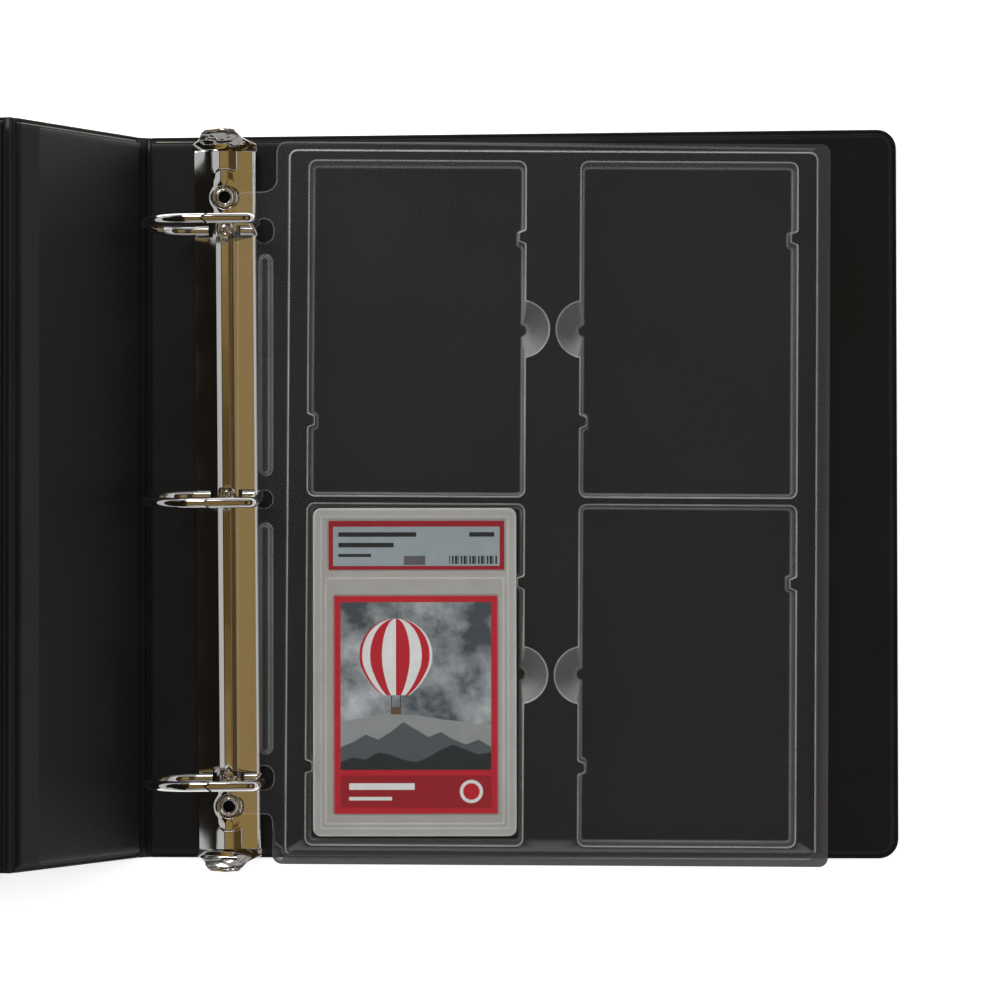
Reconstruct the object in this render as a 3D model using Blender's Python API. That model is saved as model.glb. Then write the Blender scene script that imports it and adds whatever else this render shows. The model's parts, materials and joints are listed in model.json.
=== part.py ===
# Ring binder for graded trading cards: a three-panel vinyl cover, a riveted D-ring
# mechanism and one clear page that carries a card holder in one of its four pockets.
# Metres, +Z up. X runs from the spine to the free edge of the back cover, Y along the
# spine. The back cover lies flat, and the origin is the centre of its outer face.

import math

import bmesh
import bpy
from mathutils import Matrix, Vector

MM = 0.001

# Cover panels
COVER_HEIGHT = 288.5 * MM
COVER_WIDTH = 301.5 * MM  # hinge axis to free edge
SPINE_PITCH = 75.0 * MM  # hinge axis to hinge axis
COVER_CORNER = 11.5 * MM
VINYL = 0.6 * MM
BOARD = 2.2 * MM
RIM = 2.6 * MM  # welded edge outside the boards
HINGE_HALF = 2.8 * MM  # bare vinyl on each side of a hinge axis
HINGE_STRIP = 1.2 * MM
SPINE_LEAN = math.radians(55.0)
SEAT = 0.3 * MM  # gap between pieces that seat on each other
CUT_PAST = 3.5 * MM  # how far a cutter runs past the face it opens

# Ring mechanism, measured from the middle of the housing
HOUSING_FROM_HINGE = 34.3 * MM
MECHANISM_Y = -3.2 * MM
HOUSING_WIDTH = 24.8 * MM
HOUSING_RISE = 4.0 * MM  # crown above the side lips
HOUSING_LIP = 2.2 * MM
HOUSING_SHEET = 1.0 * MM
RIDGE_WIDTH = 7.6 * MM
RIDGE_TONGUE = 11.2 * MM
RIDGE_TONGUE_LENGTH = 7.0 * MM
RIDGE_HEIGHT = 0.8 * MM
RIVET_FROM_RING = 12.9 * MM
RIVET_FROM_END = 17.6 * MM
RIVET_SEAT_RADIUS = 5.6 * MM
RIVET_SEAT_DEPTH = 1.0 * MM
RIVET_BORE = 2.6 * MM
RIVET_SHANK = 3.1 * MM
RIVET_FLANGE = 4.2 * MM
RIVET_FLANGE_LIP = 0.8 * MM
RIVET_SPACER = 5.0 * MM  # radius of the housing's leg round the shank
CAP_RADIUS = 5.5 * MM
PIP_RADIUS = 2.8 * MM
PIP_HEIGHT = 0.5 * MM

RING_PITCH = 108.0 * MM
RING_WIRE = 1.8 * MM  # radius
RING_TOP = 48.0 * MM  # above the cover's inner face
RING_BASE = 6.0 * MM
RING_LEFT = 28.6 * MM
RING_POST = 14.0 * MM
RING_JOINT = 8.4 * MM  # where the halves meet, left of the middle
RING_NOTCH = 1.6 * MM
RING_FOOT = 7.0 * MM
RING_TIGHT = 3.0 * MM  # bend radius of the feet and the post's top
RING_ROUND_TOP = 13.0 * MM
RING_ROUND_BASE = 16.0 * MM
SLOT_HALF = 2.5 * MM
SLOT_PLAY = 0.6 * MM

RAIL_THICKNESS = 1.0 * MM
RAIL_PIVOT_X = 10.4 * MM
RAIL_PIVOT_Z = 1.6 * MM  # above the cover's inner face
RAIL_FROM_END = 10.5 * MM
RAIL_DROOP = math.radians(4.0)

LEVER_REACH = 8.8 * MM  # beyond the housing's end
LEVER_RISE = 9.5 * MM
LEVER_SHEET = 1.2 * MM
LEVER_TIP_WIDTH = 13.0 * MM
LEVER_CUP = 2.2 * MM  # hollow across the thumb tab
LEVER_NECK = 10.0 * MM
LEVER_BARREL = 1.9 * MM
LEVER_FINGER = 6.0 * MM
PIN_RADIUS = 1.0 * MM
PIN_LENGTH = 17.6 * MM
PIN_FROM_END = 3.2 * MM
PIN_Z = 2.4 * MM  # above the cover's inner face
RUNNING = 0.3 * MM

# Clear page
PAGE_LEFT = 38.9 * MM  # from the hinge axis
PAGE_SHEET = 0.6 * MM
PAGE_CORNER = 7.0 * MM
STRIP_PAST_RING = 14.4 * MM
STRIP_WIDTH = 14.6 * MM
STRIP_CORNER = 3.0 * MM
FLANGE_SIDE = 4.4 * MM
FLANGE_END = 3.2 * MM
DECK_LEFT = 58.8 * MM  # from the hinge axis
DECK_SIDE = 8.1 * MM  # deck beyond the pockets
DECK_ABOVE = 3.3 * MM
DECK_BELOW = 5.9 * MM
DECK_CORNER = 6.0 * MM
DECK_RISE = 1.6 * MM
DECK_SLOPE = 0.5 * MM
FLANGE_HEIGHT = 9.4 * MM  # underside of the flange above the cover's inner face
POCKET_SIDE_PLAY = 2.5 * MM  # on each side of a card holder
POCKET_END_PLAY = 1.6 * MM
POCKET_CORNER = 4.0 * MM
POCKET_DRAFT = 1.2 * MM
POCKET_GAP_X = 22.4 * MM
POCKET_GAP_Y = 2.8 * MM
POCKET_MIDDLE_Y = -1.9 * MM
SCOOP_RADIUS = 10.3 * MM
SCOOP_FLOOR_RADIUS = 6.5 * MM
BUMP_RADIUS = 3.0 * MM
BUMP_REACH = 1.7 * MM
BUMP_FROM_END = 30.0 * MM
HOLE_X = 49.2 * MM  # from the hinge axis
HOLE_WIDTH = 7.8 * MM
HOLE_LENGTH = 9.6 * MM
MIDDLE_HOLE_LENGTH = 7.8 * MM
RIB_X = 50.6 * MM
RIB_WIDTH = 6.3 * MM
RIB_HEIGHT = 2.0 * MM
RIB_FROM_RING = 9.5 * MM

# Card holder
SLAB_SIDE = 8.1 * MM  # beside the card
SLAB_BELOW = 7.5 * MM
SLAB_THICKNESS = 6.5 * MM
SLAB_CORNER = 3.2 * MM
SLAB_CHAMFER = 0.7 * MM
SLAB_STACK_RIM = 3.4 * MM  # raised border round both faces
SLAB_FACE_SINK = 0.5 * MM
CARD_WIDTH = 64.0 * MM
CARD_LENGTH = 88.0 * MM
CARD_THICKNESS = 0.6 * MM
CARD_FROM_LABEL = 9.5 * MM
LABEL_WIDTH = 70.0 * MM
LABEL_LENGTH = 19.6 * MM
LABEL_THICKNESS = 0.4 * MM
LABEL_FROM_TOP = 5.2 * MM

# Derived levels and places
HOUSING_HALF_LENGTH = RING_PITCH + RIVET_FROM_RING + RIVET_FROM_END
RIVET_REACH = RING_PITCH + RIVET_FROM_RING
RAIL_HALF_LENGTH = HOUSING_HALF_LENGTH - RAIL_FROM_END
COVER_THICKNESS = 2 * VINYL + BOARD + 2 * SEAT
AXIS_Z = COVER_THICKNESS / 2
INNER_FACE = COVER_THICKNESS
HINGE_X = -COVER_WIDTH / 2
HOUSING_X = HINGE_X + HOUSING_FROM_HINGE
LIP_BOTTOM = INNER_FACE + SEAT
SHOULDER_Z = LIP_BOTTOM + HOUSING_LIP
CROWN_Z = SHOULDER_Z + HOUSING_RISE
RIDGE_Z = CROWN_Z + RIDGE_HEIGHT
SEAT_Z = RIDGE_Z - RIVET_SEAT_DEPTH
ARCH_RADIUS = ((HOUSING_WIDTH / 2) ** 2 + HOUSING_RISE ** 2) / (2 * HOUSING_RISE)
ARCH_CENTRE_Z = CROWN_Z - ARCH_RADIUS
RING_YS = tuple(MECHANISM_Y + RING_PITCH * step for step in (1, 0, -1))
RING_NAMES = ("top", "middle", "bottom")
FLANGE_Z = INNER_FACE + FLANGE_HEIGHT
DECK_Z = FLANGE_Z + PAGE_SHEET + DECK_RISE
FLOOR_Z = INNER_FACE + SEAT
SLAB_Z = FLOOR_Z + PAGE_SHEET + SEAT
CARD_FROM_TOP = LABEL_FROM_TOP + LABEL_LENGTH + CARD_FROM_LABEL
SLAB_WIDTH = CARD_WIDTH + 2 * SLAB_SIDE
SLAB_LENGTH = CARD_FROM_TOP + CARD_LENGTH + SLAB_BELOW
POCKET_WIDTH = SLAB_WIDTH + 2 * POCKET_SIDE_PLAY
POCKET_LENGTH = SLAB_LENGTH + 2 * POCKET_END_PLAY
POCKET_FIRST_X = DECK_LEFT + DECK_SIDE + POCKET_WIDTH / 2
POCKET_PITCH_X = POCKET_WIDTH + POCKET_GAP_X
POCKET_PITCH_Y = POCKET_LENGTH + POCKET_GAP_Y
DECK_RIGHT = POCKET_FIRST_X + POCKET_PITCH_X + POCKET_WIDTH / 2 + DECK_SIDE
DECK_TOP = POCKET_MIDDLE_Y + (POCKET_PITCH_Y + POCKET_LENGTH) / 2 + DECK_ABOVE
DECK_BOTTOM = POCKET_MIDDLE_Y - (POCKET_PITCH_Y + POCKET_LENGTH) / 2 - DECK_BELOW
PAGE_RIGHT = DECK_RIGHT + FLANGE_SIDE
PAGE_TOP = DECK_TOP + FLANGE_END
PAGE_BOTTOM = DECK_BOTTOM - FLANGE_END
STRIP_TOP = RING_YS[0] + STRIP_PAST_RING
STRIP_BOTTOM = RING_YS[-1] - STRIP_PAST_RING
ARC_STEPS = 5
ROUND_SIDES = 24


def start_scene():
    for old in list(bpy.data.objects):
        bpy.data.objects.remove(old, do_unlink=True)
    made = {}
    for name in ("trading_card_binder", "cutters"):
        made[name] = bpy.data.collections.new(name)
        bpy.context.scene.collection.children.link(made[name])
    return made["trading_card_binder"], made["cutters"]


PARTS, CUTTERS = start_scene()


def material(name, colour, roughness, metallic=0.0, alpha=1.0):
    made = bpy.data.materials.new(name)
    made.use_nodes = True
    shader = made.node_tree.nodes["Principled BSDF"]
    shader.inputs["Base Color"].default_value = (*colour, 1.0)
    shader.inputs["Roughness"].default_value = roughness
    shader.inputs["Metallic"].default_value = metallic
    shader.inputs["Alpha"].default_value = alpha
    return made


VINYL_BLACK = material("black_vinyl", (0.018, 0.018, 0.019), 0.45)
CHIPBOARD = material("grey_board", (0.30, 0.27, 0.22), 0.9)
NICKEL = material("nickel_plate", (0.62, 0.60, 0.56), 0.18, 1.0)
ZINC = material("zinc_steel", (0.45, 0.45, 0.45), 0.4, 1.0)
CLEAR_FILM = material("clear_page_film", (0.80, 0.82, 0.83), 0.12, 0.0, 0.3)
CLEAR_CASE = material("clear_case", (0.85, 0.86, 0.85), 0.08, 0.0, 0.35)
CARD_STOCK = material("card_stock", (0.55, 0.06, 0.07), 0.5)
LABEL_PAPER = material("label_paper", (0.62, 0.66, 0.70), 0.5)


def rounded_outline(low, high, radii):
    # corner radii in the order low-low, high-low, high-high, low-high
    corners = ((low[0], low[1], 180), (high[0], low[1], 270),
               (high[0], high[1], 0), (low[0], high[1], 90))
    points = []
    for (x, y, start), radius in zip(corners, radii):
        if radius <= 0:
            points.append((x, y))
            continue
        cx = x + radius * (1 if x == low[0] else -1)
        cy = y + radius * (1 if y == low[1] else -1)
        for step in range(ARC_STEPS + 1):
            turn = math.radians(start + 90 * step / ARC_STEPS)
            points.append((cx + radius * math.cos(turn), cy + radius * math.sin(turn)))
    return points


def centred_outline(cx, cy, width, length, radius):
    low = (cx - width / 2, cy - length / 2)
    high = (cx + width / 2, cy + length / 2)
    return rounded_outline(low, high, (radius,) * 4)


def arc(centre, radius, start_deg, end_deg, steps=ARC_STEPS):
    turns = [math.radians(start_deg + (end_deg - start_deg) * n / steps) for n in range(steps + 1)]
    return [(centre[0] + radius * math.cos(t), centre[1] + radius * math.sin(t)) for t in turns]


def keep(thing, skin):
    # no material marks a cutter
    if skin is None:
        CUTTERS.objects.link(thing)
        thing.hide_render = True
        thing.display_type = "WIRE"
    else:
        PARTS.objects.link(thing)
        thing.data.materials.clear()
        thing.data.materials.append(skin)
    return thing


def settle(curve, name, skin):
    # the curve becomes a welded mesh, so that it can be cut and joined
    mesh = bpy.data.meshes.new_from_object(curve)
    mesh.name = name
    work = bmesh.new()
    work.from_mesh(mesh)
    bmesh.ops.remove_doubles(work, verts=work.verts, dist=SEAT / 100)
    bmesh.ops.recalc_face_normals(work, faces=work.faces)
    work.to_mesh(mesh)
    work.free()
    made = bpy.data.objects.new(name, mesh)
    made.matrix_world = curve.matrix_basis
    bpy.data.objects.remove(curve, do_unlink=True)
    return keep(made, skin)


def spline_through(name, places, dimensions):
    data = bpy.data.curves.new(name, "CURVE")
    data.dimensions = dimensions
    spline = data.splines.new("POLY")
    spline.points.add(len(places) - 1)
    for point, place in zip(spline.points, places):
        point.co = (*place, 1)
    return data, spline


def prism(name, outline, low, high, skin=None, along_y=False):
    # a flat outline given thickness along Z, or an (X, Z) outline drawn along Y
    data, spline = spline_through(name, [(x, y, 0) for x, y in outline], "2D")
    data.fill_mode = "BOTH"
    data.extrude = (high - low) / 2
    spline.use_cyclic_u = True
    curve = bpy.data.objects.new(name + "_outline", data)
    middle = (low + high) / 2
    if along_y:
        curve.rotation_euler.x = math.pi / 2
        curve.location.y = middle
    else:
        curve.location.z = middle
    return settle(curve, name, skin)


def wire(name, path, radius, skin):
    data, _ = spline_through(name, path, "3D")
    data.bevel_depth = radius
    data.bevel_resolution = 2
    data.use_fill_caps = True
    return settle(bpy.data.objects.new(name + "_path", data), name, skin)


def loft(name, sections, skin=None):
    # closed loops with equal counts, joined in order and capped
    work = bmesh.new()
    rings = [[work.verts.new(place) for place in loop] for loop in sections]
    count = len(rings[0])
    for here, there in zip(rings, rings[1:]):
        for n in range(count):
            work.faces.new((here[n], here[(n + 1) % count], there[(n + 1) % count], there[n]))
    work.faces.new(rings[0])
    work.faces.new(rings[-1])
    bmesh.ops.recalc_face_normals(work, faces=work.faces)
    mesh = bpy.data.meshes.new(name)
    work.to_mesh(mesh)
    work.free()
    return keep(bpy.data.objects.new(name, mesh), skin)


def primitive(name, work, place, skin):
    mesh = bpy.data.meshes.new(name)
    work.to_mesh(mesh)
    work.free()
    thing = bpy.data.objects.new(name, mesh)
    thing.location = place
    return keep(thing, skin)


def drum(name, radius, low, high, place, skin=None, top_radius=None):
    work = bmesh.new()
    bmesh.ops.create_cone(work, cap_ends=True, segments=ROUND_SIDES, radius1=radius,
                          radius2=top_radius or radius, depth=high - low)
    return primitive(name, work, (place[0], place[1], (low + high) / 2), skin)


def box(name, low, high, skin=None):
    size = Vector(high) - Vector(low)
    work = bmesh.new()
    bmesh.ops.create_cube(work, size=1.0, matrix=Matrix.Diagonal((*size, 1.0)))
    return primitive(name, work, (Vector(low) + Vector(high)) / 2, skin)


def combine(thing, other, operation):
    step = thing.modifiers.new(operation.lower() + "_" + other.name, "BOOLEAN")
    step.operation = operation
    step.object = other
    step.solver = "EXACT"


def cut(thing, *others):
    for other in others:
        combine(thing, other, "DIFFERENCE")


def join(thing, *others):
    for other in others:
        combine(thing, other, "UNION")


def smooth(thing, angle=35):
    thing.data.shade_smooth()
    thing.data.set_sharp_from_angle(angle=math.radians(angle))


def empty(name, place, turn=0.0, parent=None):
    made = bpy.data.objects.new(name, None)
    made.empty_display_size = 0.02
    made.rotation_euler.y = turn
    made.location = place
    made.parent = parent
    PARTS.objects.link(made)
    return made


def hang(parent, *things):
    for thing in things:
        thing.parent = parent


# Cover panels: board, flat outer sheet and an inner sheet drawn over the board
def panel(name, frame, near, far):
    free_side = COVER_CORNER if abs(far) > SPINE_PITCH else 0.0
    low = (min(near, far), -COVER_HEIGHT / 2)
    high = (max(near, far), COVER_HEIGHT / 2)
    far_is_high = far > near

    def outline(inset):
        soft = max(free_side - inset, 0.0)
        radii = (0, soft, soft, 0) if far_is_high else (soft, 0, 0, soft)
        return rounded_outline((low[0] + inset, low[1] + inset), (high[0] - inset, high[1] - inset), radii)

    base = -COVER_THICKNESS / 2
    rim_low = base + VINYL + SEAT
    board = prism(name + "_board", outline(RIM), rim_low, rim_low + BOARD, CHIPBOARD)
    outer = prism(name + "_outer_vinyl", outline(0), base, base + VINYL, VINYL_BLACK)
    inner = prism(name + "_inner_vinyl", outline(0), rim_low, rim_low + VINYL, VINYL_BLACK)
    plateau = prism(name + "_plateau", outline(RIM - SEAT - VINYL), rim_low + VINYL / 2, -base)
    hollow = prism(name + "_hollow", outline(RIM - SEAT), rim_low - VINYL, -base - VINYL)
    join(inner, plateau)
    cut(inner, hollow)
    hang(frame, board, outer, inner, plateau, hollow)
    return board, outer, inner


def hinge_strip(name, frame, bend):
    # one arc from panel edge to panel edge, in the frame of the panel it starts on
    reach = HINGE_HALF - SEAT
    turn = -bend
    radius = reach / math.tan(abs(turn) / 2)
    side = 1 if turn > 0 else -1
    steps = 10
    outer = []
    inner = []
    for n in range(steps + 1):
        angle = abs(turn) * n / steps
        for row, shift in ((outer, HINGE_STRIP / 2), (inner, -HINGE_STRIP / 2)):
            off = radius + shift
            row.append((reach - off * math.sin(angle), -side * (radius - off * math.cos(angle))))
    length = COVER_HEIGHT / 2
    strip = prism(name, outer + inner[::-1], -length, length, VINYL_BLACK, along_y=True)
    strip.parent = frame


def build_cover():
    back = empty("back_frame", (HINGE_X, 0, AXIS_Z))
    spine = empty("spine_pivot", (HINGE_X, 0, AXIS_Z), SPINE_LEAN)
    top_z = AXIS_Z + SPINE_PITCH * math.sin(SPINE_LEAN)
    reach = math.hypot(COVER_WIDTH, AXIS_Z)
    slope = math.asin(top_z / reach) - math.atan2(AXIS_Z, COVER_WIDTH)
    bend_back = SPINE_LEAN + slope  # the front cover's free edge lies on the table
    front = empty("cover_pivot", (-SPINE_PITCH, 0, 0), -bend_back, spine)
    sheets = panel("back", back, HINGE_HALF, COVER_WIDTH)
    panel("spine", spine, HINGE_HALF - SPINE_PITCH, -HINGE_HALF)
    panel("front", front, -HINGE_HALF, -COVER_WIDTH)
    hinge_strip("spine_hinge_strip", back, SPINE_LEAN)
    seam = empty("seam_frame", (-SPINE_PITCH, 0, 0), 0.0, spine)
    hinge_strip("cover_hinge_strip", seam, -bend_back)
    return sheets


def build_rivets(sheets):
    board, outer, inner = sheets
    for name, side in (("top", 1), ("bottom", -1)):
        place = (HOUSING_X, MECHANISM_Y + side * RIVET_REACH)
        through = drum(name + "_rivet_hole", RIVET_SHANK + SEAT, -COVER_THICKNESS, 2 * INNER_FACE, place)
        pocket = drum(name + "_cap_hole", CAP_RADIUS + SEAT, -COVER_THICKNESS, VINYL + SEAT / 2, place)
        cut(board, through)
        cut(inner, through)
        cut(outer, pocket)
        cap = drum(name + "_rivet_cap", CAP_RADIUS - VINYL, SEAT / 6, VINYL + SEAT / 2, place, NICKEL,
                   CAP_RADIUS)
        smooth(cap)
        foot = VINYL + SEAT + SEAT / 2
        rivet = drum(name + "_rivet", RIVET_SHANK, foot, SEAT_Z + SEAT + RIVET_FLANGE_LIP, place, NICKEL)
        flange = drum(name + "_rivet_flange", RIVET_FLANGE, SEAT_Z + SEAT,
                      SEAT_Z + SEAT + RIVET_FLANGE_LIP, place, None, RIVET_FLANGE - RIVET_FLANGE_LIP / 2)
        bore = drum(name + "_rivet_bore", RIVET_BORE, foot - VINYL, 2 * RIDGE_Z, place)
        join(rivet, flange)
        cut(rivet, bore)
        smooth(rivet)


# The housing is an arched sheet with side lips, extruded along the spine
def arch_outline(half, radius, low):
    top = math.sqrt(radius ** 2 - half ** 2) + ARCH_CENTRE_Z
    edge = math.degrees(math.asin(half / radius))
    round_part = arc((0, ARCH_CENTRE_Z), radius, 90 - edge, 90 + edge, 16)
    outline = [(half, min(low, top))] + round_part + [(-half, min(low, top))]
    return [(HOUSING_X + x, z) for x, z in outline]


def ridge_outline():
    neck = RIDGE_WIDTH / 2
    tongue = RIDGE_TONGUE / 2
    end = HOUSING_HALF_LENGTH - SEAT
    seat = RIVET_SEAT_RADIUS + HOUSING_SHEET
    meet = math.degrees(math.asin(neck / seat))
    half = [(neck, RIVET_REACH - seat * math.cos(math.radians(meet)))]
    half += arc((0, RIVET_REACH), seat, meet - 90, 90 - meet, 8)[1:-1]
    half += [(neck, RIVET_REACH + seat * math.cos(math.radians(meet))),
             (neck, end - RIDGE_TONGUE_LENGTH - tongue + neck), (tongue, end - RIDGE_TONGUE_LENGTH),
             (tongue, end)]
    right = [(x, -y) for x, y in reversed(half)] + half
    left = [(-x, y) for x, y in reversed(right)]
    return [(HOUSING_X + x, MECHANISM_Y + y) for x, y in right + left]


def build_housing():
    half = HOUSING_WIDTH / 2
    low = MECHANISM_Y - HOUSING_HALF_LENGTH
    high = MECHANISM_Y + HOUSING_HALF_LENGTH
    outside = arch_outline(half, ARCH_RADIUS, LIP_BOTTOM)
    housing = prism("ring_housing", outside, low, high, NICKEL, along_y=True)
    ridge = prism("housing_ridge", ridge_outline(), CROWN_Z - 3 * HOUSING_SHEET, RIDGE_Z)
    inside = arch_outline(half - HOUSING_SHEET, ARCH_RADIUS - HOUSING_SHEET, LIP_BOTTOM - VINYL)
    hollow = prism("housing_hollow", inside, low - half, high + half, along_y=True)
    join(housing, ridge)
    cut(housing, hollow)
    for name, y in zip(RING_NAMES, RING_YS):
        pip = drum(name + "_pip", PIP_RADIUS, CROWN_Z, RIDGE_Z + PIP_HEIGHT, (HOUSING_X, y), None,
                   PIP_RADIUS - PIP_HEIGHT)
        join(housing, pip)
        for side in (-1, 1):
            reach = (RING_FOOT - RING_WIRE - SLOT_PLAY, RAIL_PIVOT_X + RING_WIRE)
            ends = sorted(HOUSING_X + side * x for x in reach)
            slot = box(f"{name}_slot_{side}", (ends[0], y - SLOT_HALF, SHOULDER_Z),
                       (ends[1], y + SLOT_HALF, 2 * RIDGE_Z))
            cut(housing, slot)
    for name, side in (("top", 1), ("bottom", -1)):
        place = (HOUSING_X, MECHANISM_Y + side * RIVET_REACH)
        leg = drum(name + "_rivet_leg", RIVET_SPACER, LIP_BOTTOM, CROWN_Z, place)
        dish = drum(name + "_rivet_seat", RIVET_SEAT_RADIUS - RIVET_SEAT_DEPTH, SEAT_Z, RIDGE_Z + VINYL,
                    place, None, RIVET_SEAT_RADIUS)
        bore = drum(name + "_housing_bore", RIVET_SHANK + SEAT, 0, 2 * RIDGE_Z, place)
        join(housing, leg)
        cut(housing, dish, bore)
    smooth(housing)


# Rails and rings turn about the housing's side lips
def rail_outline(side):
    outer = RAIL_PIVOT_X * side
    inner = SEAT / 2 * side
    waist = (RIVET_SPACER + 2 * SEAT) * side
    gap = RIVET_SPACER + 2 * SEAT
    end = RAIL_HALF_LENGTH
    edge = [(inner, -RIVET_REACH + gap), (inner, RIVET_REACH - gap), (waist, RIVET_REACH - gap),
            (waist, RIVET_REACH + gap), (inner, RIVET_REACH + gap), (inner, end)]
    mirrored = [(x, -y) for x, y in reversed(edge[2:])]
    return edge + [(outer, end), (outer, -end)] + mirrored


def ring_path(side, y):
    low = INNER_FACE + RING_BASE
    high = INNER_FACE + RING_TOP
    drop = (RAIL_PIVOT_X - RING_FOOT) * math.tan(RAIL_DROOP)
    foot = INNER_FACE + RAIL_PIVOT_Z - drop + RAIL_THICKNESS / 2 + SEAT
    tight = RING_TIGHT
    if side > 0:
        route = [(RING_FOOT, foot)]
        route += arc((RING_FOOT + tight, low - tight), tight, 180, 90)
        route += arc((RING_POST - tight, low + tight), tight, -90, 0)
        route += arc((RING_POST - tight, high - tight), tight, 0, 90)
        route += [(-RING_JOINT - RING_NOTCH, high)]
    else:
        route = [(-RING_FOOT, foot)]
        route += arc((-RING_FOOT - tight, low - tight), tight, 0, 90)
        route += arc((RING_ROUND_BASE - RING_LEFT, low + RING_ROUND_BASE), RING_ROUND_BASE, 270, 180, 8)
        route += arc((RING_ROUND_TOP - RING_LEFT, high - RING_ROUND_TOP), RING_ROUND_TOP, 180, 90, 8)
        route += [(-RING_JOINT + RING_NOTCH, high)]
    return [(HOUSING_X + x, y, z) for x, z in route]


def ring_notch(name, side, y):
    # seen from above, the right half ends in a point and the left half in a matching V
    reach = 1.5 * RING_WIRE
    tip = HOUSING_X - RING_JOINT - RING_NOTCH / 2 + side * SEAT * 2 / 3
    brow = tip + 1.5 * RING_NOTCH
    far = HOUSING_X - RING_JOINT - side * 2 * reach
    outline = [(far, y - reach), (brow, y - reach), (tip, y), (brow, y + reach), (far, y + reach)]
    level = INNER_FACE + RING_TOP
    return prism(name + "_notch", outline, level - reach, level + reach)


def build_rings():
    for side, word in ((-1, "left"), (1, "right")):
        pivot = (HOUSING_X + side * RAIL_PIVOT_X, 0, INNER_FACE + RAIL_PIVOT_Z)
        hold = empty(word + "_rail_pivot", pivot)
        droop = empty(word + "_rail_droop", (0, 0, 0), side * -RAIL_DROOP, hold)
        outline = [(x - side * RAIL_PIVOT_X, y + MECHANISM_Y) for x, y in rail_outline(side)]
        rail = prism(word + "_rail", outline, -RAIL_THICKNESS / 2, RAIL_THICKNESS / 2, ZINC)
        rail.parent = droop
        for name, y in zip(RING_NAMES, RING_YS):
            ring = wire(f"{word}_ring_{name}", ring_path(side, y), RING_WIRE, NICKEL)
            cut(ring, ring_notch(ring.name, side, y))
            smooth(ring, 50)
            ring.location = -Vector(pivot)
            ring.parent = hold


# Thumb levers: a cupped tab on a neck that turns on a cross pin
def lever_sections(side, end):
    sections = []
    steps = 7
    across = 9
    for n in range(steps):
        share = n / (steps - 1)
        turn = math.radians(90 * share)
        y = end + LEVER_REACH * math.sin(turn)
        z = PIN_Z + INNER_FACE + LEVER_RISE * (1 - math.cos(turn))
        lean = Vector((0, -math.sin(turn), math.cos(turn) * LEVER_REACH / LEVER_RISE)).normalized()
        half = HOUSING_WIDTH / 2 + (LEVER_TIP_WIDTH - HOUSING_WIDTH) / 2 * share ** 2
        top = []
        under = []
        for k in range(across):
            u = 2 * k / (across - 1) - 1
            cup = LEVER_CUP * (u * u - 1) * (1 - share / 2)
            for row, sheet in ((top, LEVER_SHEET / 2), (under, -LEVER_SHEET / 2)):
                row.append((HOUSING_X + half * u, y + lean.y * (sheet - cup), z + lean.z * (sheet - cup)))
        loop = top + under[::-1]
        sections.append([(x, MECHANISM_Y + side * y, z) for x, y, z in loop])
    return sections


def lever_block(name, side, near, far, height, inset=0.0):
    ends = sorted(MECHANISM_Y + side * y for y in (near, far - inset))
    half = LEVER_NECK / 2 - inset
    level = INNER_FACE + PIN_Z
    return box(name, (HOUSING_X - half, ends[0], level - LEVER_SHEET / 2 + inset),
               (HOUSING_X + half, ends[1], level + height))


def build_levers():
    for name, side in (("top", 1), ("bottom", -1)):
        pin_y = HOUSING_HALF_LENGTH - PIN_FROM_END
        pin_z = INNER_FACE + PIN_Z
        place = (HOUSING_X, MECHANISM_Y + side * pin_y, pin_z)
        hold = empty(name + "_lever_pivot", place)
        lever = loft(name + "_lever", lever_sections(side, HOUSING_HALF_LENGTH + 2 * RUNNING), NICKEL)
        outside = HOUSING_HALF_LENGTH + 2 * LEVER_SHEET
        neck = lever_block(name + "_neck", side, pin_y - LEVER_FINGER, outside, LEVER_SHEET / 2)
        web = lever_block(name + "_web", side, HOUSING_HALF_LENGTH + 2 * RUNNING, outside, LEVER_CUP, SEAT)
        barrel = cross_pin(name + "_barrel", LEVER_BARREL, LEVER_NECK - 4 * SEAT, place)
        bore = cross_pin(name + "_barrel_bore", PIN_RADIUS + RUNNING, 2 * LEVER_NECK, place)
        pin = cross_pin(name + "_lever_pin", PIN_RADIUS, PIN_LENGTH, place, ZINC)
        join(lever, neck, web, barrel)
        cut(lever, bore)
        smooth(lever)
        smooth(pin)
        for thing in (lever, neck, web):
            thing.location = thing.location - Vector(place)
            thing.parent = hold


def cross_pin(name, radius, length, place, skin=None):
    pin = drum(name, radius, -length / 2, length / 2, (0, 0), skin)
    pin.rotation_euler.y = math.pi / 2
    pin.location = place
    return pin


# The page is one formed sheet: flange, raised deck, four tubs and two hollow ribs
def page_outline():
    x = [HINGE_X + d for d in (PAGE_LEFT, PAGE_LEFT + STRIP_WIDTH, PAGE_RIGHT)]
    soft = STRIP_CORNER
    points = rounded_outline((x[1], PAGE_BOTTOM), (x[2], PAGE_TOP), (PAGE_CORNER,) * 4)
    strip = arc((x[1] - soft, STRIP_TOP + soft), soft, 0, -90)
    strip += arc((x[0] + soft, STRIP_TOP - soft), soft, 90, 180)
    strip += arc((x[0] + soft, STRIP_BOTTOM + soft), soft, 180, 270)
    strip += arc((x[1] - soft, STRIP_BOTTOM - soft), soft, 90, 0)
    return points + strip


def pocket_places():
    for row, up in ((0, 0.5), (1, -0.5)):
        for column in (0, 1):
            x = HINGE_X + POCKET_FIRST_X + column * POCKET_PITCH_X
            yield f"pocket_{row}{column}", x, POCKET_MIDDLE_Y + up * POCKET_PITCH_Y, 1 - 2 * column


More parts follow.
